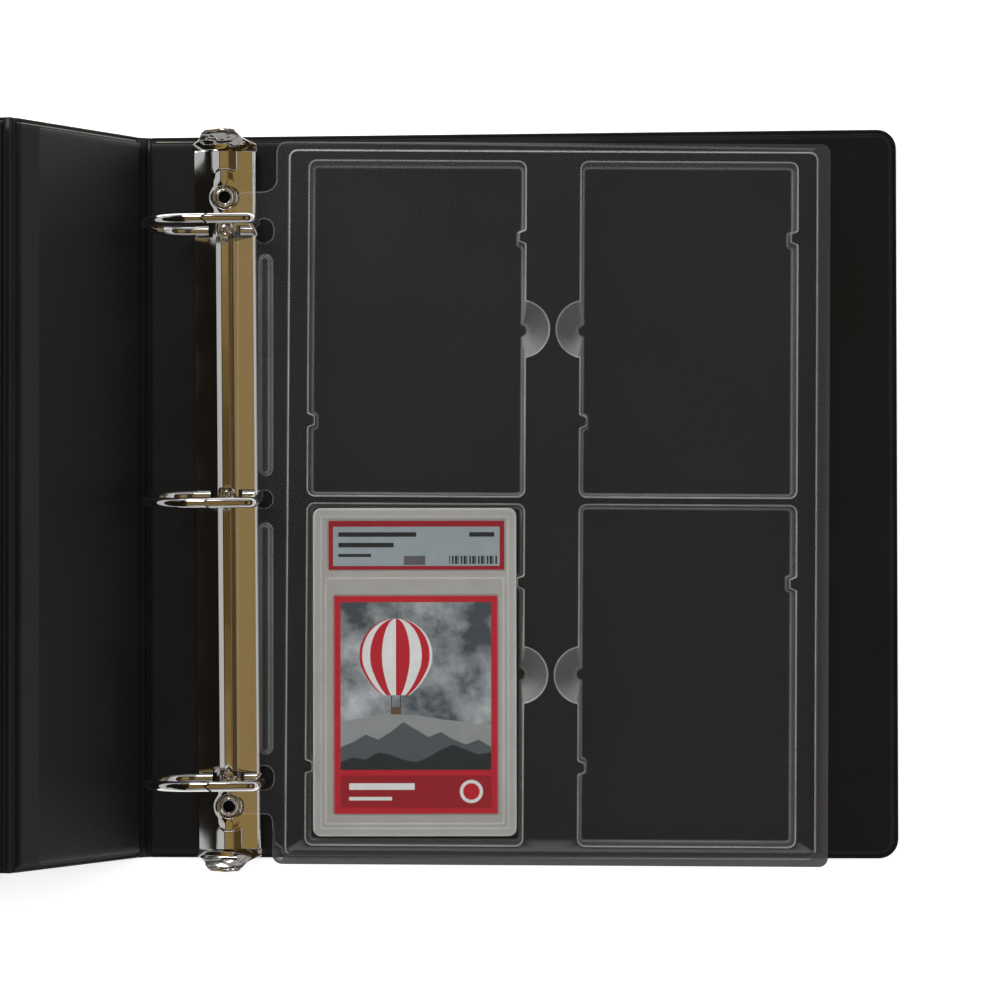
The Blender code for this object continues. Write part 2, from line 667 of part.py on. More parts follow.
def pocket_tub(name, x, y, scoop_side, grow, low, high):
    def outline(inset):
        spare = grow - inset
        return centred_outline(x, y, POCKET_WIDTH + 2 * spare, POCKET_LENGTH + 2 * spare, POCKET_CORNER)

    tub = raised(name, lambda slope: outline(POCKET_DRAFT - slope), low, high, POCKET_DRAFT)
    edge = (x + scoop_side * POCKET_WIDTH / 2, y)
    scoop = drum(name + "_scoop", SCOOP_FLOOR_RADIUS + grow, low, high, edge, None, SCOOP_RADIUS + grow)
    return tub, scoop


def build_page():
    deck_low = (HINGE_X + DECK_LEFT, DECK_BOTTOM)
    deck_high = (HINGE_X + DECK_RIGHT, DECK_TOP)

    def deck_outline(inset):
        low = [value + inset for value in deck_low]
        high = [value - inset for value in deck_high]
        return rounded_outline(low, high, (DECK_CORNER - inset,) * 4)

    page = prism("slab_page", page_outline(), FLANGE_Z, FLANGE_Z + PAGE_SHEET, CLEAR_FILM)
    deck = raised("deck", deck_outline, FLANGE_Z + PAGE_SHEET / 2, DECK_Z, DECK_SLOPE)
    under = raised("deck_hollow", lambda inset: deck_outline(PAGE_SHEET + inset), FLANGE_Z - PAGE_SHEET,
                   DECK_Z - PAGE_SHEET, DECK_SLOPE)
    join(page, deck)
    cut(page, under)
    for number, (above, below) in enumerate(zip(RING_YS, RING_YS[1:])):
        build_rib(page, number, below + RIB_FROM_RING, above - RIB_FROM_RING)
    for name, x, y, scoop_side in pocket_places():
        join(page, *pocket_tub(name + "_tub", x, y, scoop_side, PAGE_SHEET, FLOOR_Z,
                              DECK_Z - PAGE_SHEET / 2))
    for name, x, y, scoop_side in pocket_places():
        tub, scoop = pocket_tub(name + "_space", x, y, scoop_side, 0.0, FLOOR_Z + PAGE_SHEET,
                                DECK_Z + CUT_PAST)
        for side, end in ((1, 1), (-1, -1)):
            place = (x + side * (POCKET_WIDTH / 2 + BUMP_RADIUS - BUMP_REACH),
                     y + end * (POCKET_LENGTH / 2 - BUMP_FROM_END))
            cut(tub, drum(f"{name}_bump_{side}", BUMP_RADIUS, FLOOR_Z, DECK_Z + 2 * CUT_PAST, place))
        cut(page, tub, scoop)
    for name, y in zip(RING_NAMES, RING_YS):
        length = MIDDLE_HOLE_LENGTH if name == "middle" else HOLE_LENGTH
        outline = centred_outline(HINGE_X + HOLE_X, y, HOLE_WIDTH, length, HOLE_WIDTH / 2 - SEAT / 2)
        cut(page, prism(name + "_page_hole", outline, FLANGE_Z - CUT_PAST, FLANGE_Z + CUT_PAST))
    smooth(page, 30)


def raised(name, outline_of, low, high, slope):
    foot = [(x, y, low) for x, y in outline_of(0.0)]
    brow = [(x, y, high) for x, y in outline_of(slope)]
    return loft(name, [foot, brow])


def build_rib(page, number, low, high):
    middle = (low + high) / 2

    def outline(inset):
        return centred_outline(HINGE_X + RIB_X, middle, RIB_WIDTH - 2 * inset, high - low - 2 * inset,
                               RIB_WIDTH / 2 - inset - SEAT / 2)

    base = FLANGE_Z + PAGE_SHEET
    crest = raised(f"rib_{number}", outline, base - PAGE_SHEET / 2, base + RIB_HEIGHT, RIB_WIDTH / 5)
    groove = raised(f"rib_{number}_hollow", lambda inset: outline(PAGE_SHEET + inset),
                    FLANGE_Z - PAGE_SHEET, FLANGE_Z + RIB_HEIGHT, RIB_WIDTH / 5)
    join(page, crest)
    cut(page, groove)


# The card holder lies in the lower left pocket
def build_slab():
    x = HINGE_X + POCKET_FIRST_X
    y = POCKET_MIDDLE_Y - POCKET_PITCH_Y / 2
    middle = SLAB_Z + SLAB_THICKNESS / 2
    top_y = y + SLAB_LENGTH / 2
    label = (x, top_y - LABEL_FROM_TOP - LABEL_LENGTH / 2)
    card = (x, top_y - CARD_FROM_TOP - CARD_LENGTH / 2)

    def outline(inset):
        return centred_outline(x, y, SLAB_WIDTH - 2 * inset, SLAB_LENGTH - 2 * inset, SLAB_CORNER - inset)

    levels = {"front": (middle + SEAT / 2, SLAB_Z + SLAB_THICKNESS), "back": (middle - SEAT / 2, SLAB_Z)}
    for word, (seam, face) in levels.items():
        out = 1 if face > seam else -1
        shell = loft(f"slab_{word}_shell", [
            [(px, py, seam) for px, py in outline(0.0)],
            [(px, py, face - out * SLAB_CHAMFER) for px, py in outline(0.0)],
            [(px, py, face) for px, py in outline(SLAB_CHAMFER)]], CLEAR_CASE)
        sink = prism(f"slab_{word}_sink", outline(SLAB_STACK_RIM),
                     *sorted((face - out * SLAB_FACE_SINK, face + out * SLAB_FACE_SINK)))
        cut(shell, sink)
        for name, place, width, length, thick in (
                ("card", card, CARD_WIDTH, CARD_LENGTH, CARD_THICKNESS),
                ("label", label, LABEL_WIDTH, LABEL_LENGTH, LABEL_THICKNESS)):
            well = centred_outline(*place, width + 2 * SEAT, length + 2 * SEAT, 0)
            depth = sorted((seam - out * SEAT, middle + out * (thick / 2 + SEAT)))
            cut(shell, prism(f"{name}_well_{word}", well, *depth))
    for name, place, width, length, thick, skin in (
            ("trading_card", card, CARD_WIDTH, CARD_LENGTH, CARD_THICKNESS, CARD_STOCK),
            ("slab_label", label, LABEL_WIDTH, LABEL_LENGTH, LABEL_THICKNESS, LABEL_PAPER)):
        reach = Vector((width, length, thick)) / 2
        centre = Vector((*place, middle))
        box(name, centre - reach, centre + reach, skin)


def main():
    sheets = build_cover()
    build_rivets(sheets)
    build_housing()
    build_rings()
    build_levers()
    build_page()
    build_slab()


main()
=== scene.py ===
import json
import math

import bmesh
import bpy
from mathutils import Matrix, Vector
from mathutils.geometry import delaunay_2d_cdt


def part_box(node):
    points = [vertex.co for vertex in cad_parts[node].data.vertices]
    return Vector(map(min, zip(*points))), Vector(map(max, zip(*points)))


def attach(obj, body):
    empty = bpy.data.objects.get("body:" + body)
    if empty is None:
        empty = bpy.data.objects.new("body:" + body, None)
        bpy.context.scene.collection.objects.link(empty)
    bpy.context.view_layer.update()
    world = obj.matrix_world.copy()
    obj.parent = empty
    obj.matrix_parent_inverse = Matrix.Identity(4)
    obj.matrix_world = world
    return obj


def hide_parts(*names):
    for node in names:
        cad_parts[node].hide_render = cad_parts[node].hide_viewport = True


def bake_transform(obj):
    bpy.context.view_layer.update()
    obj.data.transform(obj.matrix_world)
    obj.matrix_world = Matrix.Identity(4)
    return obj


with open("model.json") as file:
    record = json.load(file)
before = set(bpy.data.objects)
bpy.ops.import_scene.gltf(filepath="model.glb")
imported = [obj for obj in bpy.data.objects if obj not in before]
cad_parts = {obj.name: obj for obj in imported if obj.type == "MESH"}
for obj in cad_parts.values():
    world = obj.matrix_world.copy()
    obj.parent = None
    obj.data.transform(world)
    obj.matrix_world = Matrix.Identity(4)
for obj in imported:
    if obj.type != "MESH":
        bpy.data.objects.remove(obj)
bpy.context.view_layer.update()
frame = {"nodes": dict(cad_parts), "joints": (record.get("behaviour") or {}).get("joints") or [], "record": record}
nodes = frame["nodes"]
joints = {joint["name"]: joint for joint in frame["joints"]}
print("scene: frame loaded")


# helpers, in millimetres
def mmBox(node):
    low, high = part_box(node)
    return low * 1000, high * 1000


def jointPoint(name):
    return Vector(joints[name]["pos_m"]) * 1000


def outward(mesh, mergeWithin=None):
    # turns the faces outwards, after closing seams where asked
    bm = bmesh.new()
    bm.from_mesh(mesh)
    if mergeWithin:
        bmesh.ops.remove_doubles(bm, verts=bm.verts, dist=mergeWithin)
    bmesh.ops.recalc_face_normals(bm, faces=bm.faces)
    bm.to_mesh(mesh)
    bm.free()


def meshObject(name, verts, faces, materials):
    mesh = bpy.data.meshes.new(name)
    mesh.from_pydata([Vector(v) * 0.001 for v in verts], [], faces)
    outward(mesh)
    return finishObject(name, mesh, materials)


def finishObject(name, mesh, materials):
    mesh.validate()
    mesh.shade_smooth()
    for material in materials if isinstance(materials, (list, tuple)) else [materials]:
        mesh.materials.append(material)
    made = bpy.data.objects.new(name, mesh)
    bpy.context.scene.collection.objects.link(made)
    return made


def loft(rings, capFirst=True, capLast=True):
    count = len(rings[0])
    verts = [point for ring in rings for point in ring]
    faces = []
    for row in range(len(rings) - 1):
        for i in range(count):
            j = (i + 1) % count
            faces.append((row * count + i, row * count + j, (row + 1) * count + j, (row + 1) * count + i))
    if capFirst:
        faces.append(tuple(reversed(range(count))))
    if capLast:
        faces.append(tuple(range(len(verts) - count, len(verts))))
    return verts, faces


def roundedLoop(low, high, radii, steps=6):
    corners = ((low[0], low[1], 180), (high[0], low[1], 270), (high[0], high[1], 0), (low[0], high[1], 90))
    points = []
    for (x, y, start), radius in zip(corners, radii):
        radius = max(radius, 0.05)
        cx = x + (radius if x == low[0] else -radius)
        cy = y + (radius if y == low[1] else -radius)
        for step in range(steps + 1):
            turn = math.radians(start + 90 * step / steps)
            points.append((cx + radius * math.cos(turn), cy + radius * math.sin(turn)))
    return points


def centredLoop(centre, size, radius, inset=0.0, steps=6):
    half = (size[0] / 2 - inset, size[1] / 2 - inset)
    low = (centre[0] - half[0], centre[1] - half[1])
    high = (centre[0] + half[0], centre[1] + half[1])
    return roundedLoop(low, high, [max(radius - inset, 0.2)] * 4, steps)


def circleLoop(centre, radius, count=32):
    turns = [2 * math.pi * k / count for k in range(count)]
    return [(centre[0] + radius * math.cos(t), centre[1] + radius * math.sin(t)) for t in turns]


def atLevel(loop, z):
    return [(x, y, z) for x, y in loop]


def easeStep(value):
    value = min(1.0, max(0.0, value))
    return value * value * (3 - 2 * value)


def insideLoop(point, loop):
    inside = False
    for (x1, y1), (x2, y2) in zip(loop, loop[1:] + loop[:1]):
        if (y1 > point[1]) != (y2 > point[1]) and point[0] < x1 + (point[1] - y1) * (x2 - x1) / (y2 - y1):
            inside = not inside
    return inside


class SheetMesh:
    # collects loops, walls between them and flat fills with holes
    def __init__(self, attribute=None):
        self.bm = bmesh.new()
        # layers for a painted highlight mask and a painted shadow mask
        self.layer = self.bm.verts.layers.float.new(attribute) if attribute else None
        self.shadowBand = self.bm.verts.layers.float.new("hemMask") if attribute else None

    def loop(self, points, mask=0.0):
        made = [self.bm.verts.new(Vector(point) * 0.001) for point in points]
        if self.layer:
            for vert in made:
                vert[self.layer] = mask
        return made

    def wall(self, first, second):
        count = len(first)
        for i in range(count):
            j = (i + 1) % count
            self.bm.faces.new((first[i], first[j], second[j], second[i]))

    def walls(self, loops):
        for first, second in zip(loops, loops[1:]):
            self.wall(first, second)

    def face(self, loop):
        self.bm.faces.new(loop)

    def fill(self, loops, chains=()):
        # flat sheet inside the first loop and outside the others; chains are lines to keep
        verts, edges = [], []
        for line in (*loops, *chains):
            start, closed = len(verts), line in loops
            verts += line
            edges += [(start + i, start + (i + 1) % len(line)) for i in range(len(line) if closed else len(line) - 1)]
        flat = [(vert.co.x * 1000, vert.co.y * 1000) for vert in verts]
        points, _, faces, sources, _, _ = delaunay_2d_cdt([Vector(p) for p in flat], edges, [], 0, 1e-4)
        outlines = [[(vert.co.x * 1000, vert.co.y * 1000) for vert in loop] for loop in loops]
        for face in faces:
            middle = sum((points[i] for i in face), Vector((0, 0))) / len(face)
            if insideLoop(middle, outlines[0]) and not any(insideLoop(middle, hole) for hole in outlines[1:]):
                self.bm.faces.new([verts[sources[i][0]] for i in face])

    def finish(self, name, materials, upward=None):
        bmesh.ops.recalc_face_normals(self.bm, faces=self.bm.faces)
        if upward is not None:
            rise = sum(face.normal.z * face.calc_area() for face in self.bm.faces)
            if (rise > 0) != upward:
                bmesh.ops.reverse_faces(self.bm, faces=self.bm.faces)
        mesh = bpy.data.meshes.new(name)
        self.bm.to_mesh(mesh)
        self.bm.free()
        return finishObject(name, mesh, materials)


def thicken(piece, thickness, offset=-1.0):
    made = piece.modifiers.new("thickness", "SOLIDIFY")
    made.thickness = thickness * 0.001
    made.offset = offset
    made.use_even_offset = False
    return piece


def weightNormals(piece):
    piece.modifiers.new("normals", "WEIGHTED_NORMAL")
    return piece


# camera fitted to the photograph
cameraSpec = dict(location=(-0.004382, -0.020640, 1.231805), turn=(0.01527167, 0.00296204, -0.00151796),
                  lens=110.81, sensor=36.0)
cameraData = bpy.data.cameras.new("photoCamera")
cameraData.lens = cameraSpec["lens"]
cameraData.sensor_width = cameraSpec["sensor"]
cameraData.clip_start = 0.01
camera = bpy.data.objects.new("photoCamera", cameraData)
camera.location = cameraSpec["location"]
camera.rotation_euler = cameraSpec["turn"]
bpy.context.scene.collection.objects.link(camera)
bpy.context.scene.camera = camera
bpy.context.scene.view_settings.view_transform = "Standard"
print("scene: camera set")


# shader groups
def newGroup(name, inputs, outputs):
    group = bpy.data.node_groups.new(name, "ShaderNodeTree")
    for socket, value in inputs:
        made = group.interface.new_socket(socket, in_out="INPUT", socket_type="NodeSocketFloat")
        made.default_value = value
    for socket in outputs:
        group.interface.new_socket(socket, in_out="OUTPUT", socket_type="NodeSocketFloat")
    return group, group.nodes.new("NodeGroupInput"), group.nodes.new("NodeGroupOutput")


def addNode(tree, kind, **values):
    made = tree.nodes.new(kind)
    for name, value in values.items():
        setattr(made, name, value)
    return made


def mathNode(tree, operation, first, second=None):
    made = addNode(tree, "ShaderNodeMath", operation=operation)
    for socket, value in zip(made.inputs, (first, second)):
        if isinstance(value, (int, float)):
            socket.default_value = value
        elif value is not None:
            tree.links.new(value, socket)
    return made.outputs[0]


def noiseNode(tree, coords, scale, detail=3.0, rough=0.55):
    made = addNode(tree, "ShaderNodeTexNoise")
    tree.links.new(coords, made.inputs["Vector"])
    if isinstance(scale, (int, float)):
        made.inputs["Scale"].default_value = scale
    else:
        tree.links.new(scale, made.inputs["Scale"])
    made.inputs["Detail"].default_value = detail
    made.inputs["Roughness"].default_value = rough
    return made.outputs[0]


def rangeNode(tree, value, low, high, outLow, outHigh):
    made = addNode(tree, "ShaderNodeMapRange", clamp=True)
    tree.links.new(value, made.inputs[0])
    for socket, number in zip(list(made.inputs)[1:5], (low, high, outLow, outHigh)):
        if isinstance(number, (int, float)):
            socket.default_value = number
        else:
            tree.links.new(number, socket)
    return made.outputs[0]


def makeGrain():
    # embossed vinyl grain: soft pebbles, fine pores and slow wear
    group, given, out = newGroup("vinylGrain", [("Pebble", 900.0)], ["Height", "Wear"])
    coords = addNode(group, "ShaderNodeTexCoord").outputs["Object"]
    cells = addNode(group, "ShaderNodeTexVoronoi", feature="SMOOTH_F1")
    cells.inputs["Smoothness"].default_value = 0.6
    group.links.new(coords, cells.inputs["Vector"])
    group.links.new(given.outputs["Pebble"], cells.inputs["Scale"])
    fine = noiseNode(group, coords, 2600.0, 2.0)
    group.links.new(mathNode(group, "ADD", cells.outputs["Distance"], mathNode(group, "MULTIPLY", fine, 0.35)),
                    out.inputs["Height"])
    group.links.new(noiseNode(group, coords, 21.0, 4.0), out.inputs["Wear"])
    return group


def makeHandling():
    # smudges and hairline streaks of a handled polished surface
    group, given, out = newGroup("handledFinish", [("Low", 0.1), ("High", 0.2)], ["Roughness", "Height"])
    coords = addNode(group, "ShaderNodeTexCoord").outputs["Object"]
    smudge = noiseNode(group, coords, 60.0, 4.0, 0.6)
    stretch = addNode(group, "ShaderNodeMapping")
    stretch.inputs["Scale"].default_value = (2600.0, 60.0, 400.0)
    group.links.new(coords, stretch.inputs["Vector"])
    streak = noiseNode(group, stretch.outputs[0], 1.0, 2.0)
    group.links.new(rangeNode(group, smudge, 0.35, 0.7, given.outputs["Low"], given.outputs["High"]),
                    out.inputs["Roughness"])
    group.links.new(streak, out.inputs["Height"])
    return group


def makeMottle():
    # uneven tone of pressed or printed stock
    group, given, out = newGroup("stockMottle", [("Scale", 120.0), ("Depth", 0.15)], ["Tone", "Height"])
    coords = addNode(group, "ShaderNodeTexCoord").outputs["Object"]
    tone = noiseNode(group, coords, given.outputs["Scale"], 5.0, 0.6)
    spread = mathNode(group, "MULTIPLY", mathNode(group, "SUBTRACT", tone, 0.5), given.outputs["Depth"])
    group.links.new(mathNode(group, "ADD", spread, 1.0), out.inputs["Tone"])
    group.links.new(noiseNode(group, coords, 1800.0, 2.0), out.inputs["Height"])
    return group


grainGroup, handlingGroup, mottleGroup = makeGrain(), makeHandling(), makeMottle()


# materials
def newMaterial(name, colour, roughness, metallic=0.0, specular=0.5):
    made = bpy.data.materials.new(name)
    made.use_nodes = True
    shader = made.node_tree.nodes["Principled BSDF"]
    shader.inputs["Base Color"].default_value = (*colour, 1.0)
    shader.inputs["Roughness"].default_value = roughness
    shader.inputs["Metallic"].default_value = metallic
    shader.inputs["Specular IOR Level"].default_value = specular
    return made, made.node_tree, shader


def useGroup(tree, group, **values):
    made = addNode(tree, "ShaderNodeGroup", node_tree=group)
    for name, value in values.items():
        made.inputs[name].default_value = value
    return made


def bumpFrom(tree, shader, height, strength, distance):
    bump = addNode(tree, "ShaderNodeBump")
    bump.inputs["Strength"].default_value = strength
    bump.inputs["Distance"].default_value = distance
    tree.links.new(height, bump.inputs["Height"])
    tree.links.new(bump.outputs[0], shader.inputs["Normal"])


def toneColour(tree, shader, tone, colour, low, high, darker):
    # mixes towards a darker colour where the tone is low
    mix = addNode(tree, "ShaderNodeMix", data_type="RGBA")
    mix.inputs["A"].default_value = (*darker, 1.0)
    mix.inputs["B"].default_value = (*colour, 1.0)
    tree.links.new(rangeNode(tree, tone, low, high, 0.0, 1.0), mix.inputs["Factor"])
    tree.links.new(mix.outputs["Result"], shader.inputs["Base Color"])


def vinylMaterial(name, colour, darker, pebble, strength):
    made, tree, shader = newMaterial(name, colour, 0.4, 0.0, 0.25)
    grain = useGroup(tree, grainGroup, Pebble=pebble)
    toneColour(tree, shader, grain.outputs["Wear"], colour, 0.3, 0.7, darker)
    tree.links.new(rangeNode(tree, grain.outputs["Wear"], 0.3, 0.7, 0.36, 0.46), shader.inputs["Roughness"])
    bumpFrom(tree, shader, grain.outputs["Height"], strength, 0.0002)
    return made


def metalMaterial(name, colour, low, high, strength):
    made, tree, shader = newMaterial(name, colour, low, 1.0)
    handled = useGroup(tree, handlingGroup, Low=low, High=high)
    tree.links.new(handled.outputs["Roughness"], shader.inputs["Roughness"])
    bumpFrom(tree, shader, handled.outputs["Height"], strength, 0.00002)
    return made


def stockMaterial(name, colour, roughness, scale=120.0, depth=0.15, strength=0.1, specular=0.5):
    made, tree, shader = newMaterial(name, colour, roughness, 0.0, specular)
    mottle = useGroup(tree, mottleGroup, Scale=scale, Depth=depth)
    toneColour(tree, shader, mottle.outputs["Tone"], colour, 1 - depth / 2, 1 + depth / 2,
               tuple(0.78 * c for c in colour))
    bumpFrom(tree, shader, mottle.outputs["Height"], strength, 0.00005)
    return made


def clearMaterial(name, colour, roughness, flatAlpha, highlightAlpha, facingAlpha, shadowColour, shadowAlpha):
    # clear plastic: faint where flat, with painted highlights that make it whiter on the bends the mesh marks, and
    # whiter at grazing angles
    made, tree, shader = newMaterial(name, colour, roughness)
    handled = useGroup(tree, handlingGroup, Low=roughness, High=roughness + 0.1)
    tree.links.new(handled.outputs["Roughness"], shader.inputs["Roughness"])
    mask = addNode(tree, "ShaderNodeAttribute", attribute_name="edgeMask").outputs["Fac"]
    coords = addNode(tree, "ShaderNodeTexCoord").outputs["Object"]
    patchyHighlight = rangeNode(tree, noiseNode(tree, coords, 45.0, 3.0), 0.3, 0.7, 0.8, 1.15)  # painted highlight, patchy along the bends
    edge = rangeNode(tree, mathNode(tree, "MULTIPLY", mask, patchyHighlight), 0.0, 1.0, flatAlpha, highlightAlpha)
    facing = addNode(tree, "ShaderNodeLayerWeight")
    facing.inputs["Blend"].default_value = 0.25
    grazing = mathNode(tree, "MULTIPLY", facing.outputs["Facing"], facingAlpha)
    shadowBand = addNode(tree, "ShaderNodeAttribute", attribute_name="hemMask").outputs["Fac"]  # painted shadow: dark grey and more opaque where the mesh marks it
    toneColour(tree, shader, shadowBand, shadowColour, 0.0, 0.25, colour)
    highlightAndShadow = mathNode(tree, "ADD", edge, mathNode(tree, "MULTIPLY", shadowBand, shadowAlpha))
    alpha = mathNode(tree, "MINIMUM", mathNode(tree, "ADD", highlightAndShadow, grazing), 1.0)
    tree.links.new(alpha, shader.inputs["Alpha"])
    bumpFrom(tree, shader, handled.outputs["Height"], 0.05, 0.00002)
    return made


vinylBlack = vinylMaterial("vinylBlack", colour=(0.0066, 0.0069, 0.0075), darker=(0.005, 0.0053, 0.0058),
                           pebble=900.0, strength=0.22)
vinylWeld = vinylMaterial("vinylWeld", colour=(0.0056, 0.0058, 0.0063), darker=(0.0042, 0.0044, 0.0048),
                          pebble=1500.0, strength=0.1)
chipboard = stockMaterial("chipboard", colour=(0.30, 0.27, 0.22), roughness=0.9, scale=300.0, depth=0.4, strength=0.5)
nickel = metalMaterial("nickel", colour=(0.70, 0.695, 0.685), low=0.05, high=0.1, strength=0.008)
# painted shade: the zinc is made near black so the slots over it read dark
zinc = metalMaterial("zinc", colour=(0.11, 0.11, 0.115), low=0.32, high=0.5, strength=0.15)
# the page film has painted highlights on its bends and a painted shadow along its bottom edge; the case has painted
# highlights on its bends
pageFilm = clearMaterial("pageFilm", colour=(0.75, 0.755, 0.755), roughness=0.12, flatAlpha=0.008, highlightAlpha=0.46,
                         facingAlpha=0.1, shadowColour=(0.06, 0.06, 0.062), shadowAlpha=0.8)
clearCase = clearMaterial("clearCase", colour=(0.80, 0.80, 0.78), roughness=0.1, flatAlpha=0.004, highlightAlpha=0.34,
                          facingAlpha=0.06, shadowColour=(0.80, 0.80, 0.78), shadowAlpha=0.0)
frostedCase = stockMaterial("frostedCase", colour=(0.335, 0.325, 0.30), roughness=0.4, scale=90.0, depth=0.08,
                            strength=0.1, specular=0.25)
for node in nodes.values():
    slot = next(part["material_slot"] for part in frame["record"]["subparts"] if part["node"] == node.name)
    chosen = dict(vinyl=vinylBlack, board=chipboard, nickel=nickel, zinc=zinc, page_film=pageFilm,
                  clear_case=frostedCase, card=frostedCase, label=frostedCase)[slot]
    node.data.materials.clear()
    node.data.materials.append(chosen)
print("scene: materials made")


# floor, light and reflection cards
stageSpec = dict(floorHalf=3000.0, floorDrop=0.3, floorTone=(0.9, 0.9, 0.9), floorGlow=0.45, fill=0.42)
lampSpec = dict(  # place, size, power, and whether gloss shows it
    leftLamp=((-0.7, 0.5, 1.5), 1.5, 6.0, False), rightLamp=((0.6, 0.3, 1.5), 1.5, 6.0, False),
    nearLamp=((0.1, -0.9, 1.5), 1.5, 6.0, False), sheenLamp=((-0.32, 0.47, 0.26), 0.3, 2.2, True))
ceilingSpec = dict(  # what the polished parts reflect: angles from straight up, minus to the left
    dark=((-62.0, 64.0, 900.0, 950.0, (0.03, 0.019, 0.008)),),
    gold=((-12.0, 0.5, 880.0, 450.0, (0.318, 0.214, 0.077)), (17.0, 40.0, 880.0, 450.0, (0.318, 0.214, 0.077)),
          (40.0, 47.0, 880.0, 450.0, (0.09, 0.056, 0.02)), (-12.0, 0.5, 876.0, 160.0, (0.25, 0.165, 0.056)),
          (-12.0, 0.5, 872.0, 115.0, (0.185, 0.12, 0.038)), (-12.0, 0.5, 868.0, 75.0, (0.12, 0.076, 0.024))))
surroundSpec = dict(sideX=760.0, sideHalf=900.0, sideHigh=330.0, endFrom=-950.0, endTo=750.0, endHigh=900.0,
                    endY=dict(farCard=970.0, nearCard=-970.0), endTone=(0.42, 0.41, 0.40))
leafSpec = dict(  # dark flag with notched ends before a pale card, left of the rings; heights from the cover hinge
    lean=82.0, half=420.0, high=330.0, pale=(12.0, 60.0), strip=(-16.0, 12.0), ahead=4.0, tone=(0.010, 0.0075, 0.005),
    light=(0.6, 0.595, 0.59), tip=141.0,
    notch=((12.0, 12.0), (5.0, 13.5), (2.0, 17.0), (0.0, 21.5), (2.0, 27.0), (6.0, 33.0), (12.0, 37.0), (60.0, 39.0)))


def glowMaterial(name, colour, strength=1.0):
    made = bpy.data.materials.new(name)
    made.use_nodes = True
    tree = made.node_tree
    tree.nodes.clear()
    glow = addNode(tree, "ShaderNodeEmission")
    glow.inputs["Color"].default_value = (*colour, 1.0)
    glow.inputs["Strength"].default_value = strength
    tree.links.new(glow.outputs[0], addNode(tree, "ShaderNodeOutputMaterial").inputs["Surface"])
    return made


def seenRays(tree):
    # the rays that show the background: straight, in gloss and through glass
    path = addNode(tree, "ShaderNodeLightPath").outputs
    direct = mathNode(tree, "MAXIMUM", path["Is Camera Ray"], path["Is Glossy Ray"])
    return mathNode(tree, "MAXIMUM", direct, path["Is Transmission Ray"])


def reflectionCard(name, verts, colour, faces=None):
    # only polished and clear surfaces show it
    card = meshObject(name, verts, faces or [tuple(range(len(verts)))], glowMaterial(name + "Tone", colour))
    card.visible_camera = card.visible_diffuse = card.visible_transmission = False
    card.visible_shadow = card.visible_volume_scatter = False


def buildFloor():
    half, drop = stageSpec["floorHalf"], -stageSpec["floorDrop"]
    floorMaterial, tree, shader = newMaterial("paperFloor", stageSpec["floorTone"], 0.9, 0.0, 0.1)
    shader.inputs["Emission Color"].default_value = (1.0, 1.0, 1.0, 1.0)
    glow = mathNode(tree, "MULTIPLY", seenRays(tree), stageSpec["floorGlow"])
    tree.links.new(glow, shader.inputs["Emission Strength"])
    corners = [(-half, -half, drop), (half, -half, drop), (half, half, drop), (-half, half, drop)]
    floor = meshObject("floor", corners, [(0, 1, 2, 3)], floorMaterial)


def buildLight():
    world = bpy.data.worlds.new("studio")
    bpy.context.scene.world = world
    world.use_nodes = True
    tree = world.node_tree
    background = tree.nodes["Background"]
    background.inputs["Color"].default_value = (1.0, 1.0, 1.0, 1.0)
    strength = rangeNode(tree, seenRays(tree), 0.0, 1.0, stageSpec["fill"], 1.0)
    tree.links.new(strength, background.inputs["Strength"])
    for name, (place, size, power, glossy) in lampSpec.items():
        lampData = bpy.data.lights.new(name, "AREA")
        lampData.size, lampData.energy = size, power
        lamp = bpy.data.objects.new(name, lampData)
        lamp.location = place
        lamp.rotation_euler = (-lamp.location).to_track_quat("-Z", "Y").to_euler()
        lamp.visible_glossy = glossy
        bpy.context.scene.collection.objects.link(lamp)


def buildCeiling(steps=16):
    low, high = mmBox("ring_housing")
    middle = (low.x + high.x) / 2
    for word, bands in ceilingSpec.items():
        for index, (start, end, radius, reach, colour) in enumerate(bands):
            verts = []
            for step in range(steps + 1):
                turn = math.radians(start + (end - start) * step / steps)
                x, z = middle + radius * math.sin(turn), radius * math.cos(turn)
                verts += [(x, -reach, z), (x, reach, z)]
            faces = [(2 * k, 2 * k + 1, 2 * k + 3, 2 * k + 2) for k in range(steps)]
            reflectionCard(f"{word}Ceiling{index}", verts, colour, faces)


def buildCards():
    foot = jointPoint("cover_hinge")
    lean, half, ahead = math.radians(leafSpec["lean"]), leafSpec["half"], leafSpec["ahead"]

    def leafPoint(y, up, forward):
        return (foot.x + forward - up * math.cos(lean), y, foot.z + up * math.sin(lean))

    def band(ups, forward):
        corners = ((-half, ups[0]), (half, ups[0]), (half, ups[1]), (-half, ups[1]))
        return [leafPoint(y, up, forward) for y, up in corners]

    flagEnd = [(leafSpec["tip"] + y, up) for y, up in leafSpec["notch"]]
    flagEnd += [(half, flagEnd[-1][1]), (half, leafSpec["high"])]
    flag = [leafPoint(y, up, ahead) for y, up in flagEnd + [(-y, up) for y, up in reversed(flagEnd)]]
    reflectionCard("darkFlag", flag, leafSpec["tone"])
    reflectionCard("paleCard", band(leafSpec["pale"], 0.0), leafSpec["light"])
    reflectionCard("footCard", band(leafSpec["strip"], 2 * ahead), leafSpec["light"])
    x, y, high = surroundSpec["sideX"], surroundSpec["sideHalf"], surroundSpec["sideHigh"]
    reflectionCard("sideCard", [(x, -y, 0.0), (x, y, 0.0), (x, y, high), (x, -y, high)], leafSpec["light"])
    start, end, high = surroundSpec["endFrom"], surroundSpec["endTo"], surroundSpec["endHigh"]
    for name, y in surroundSpec["endY"].items():
        corners = [(start, y, 0.0), (end, y, 0.0), (end, y, high), (start, y, high)]
        reflectionCard(name, corners, surroundSpec["endTone"])


buildFloor()
buildLight()
buildCeiling()
buildCards()
print("scene: stage built")


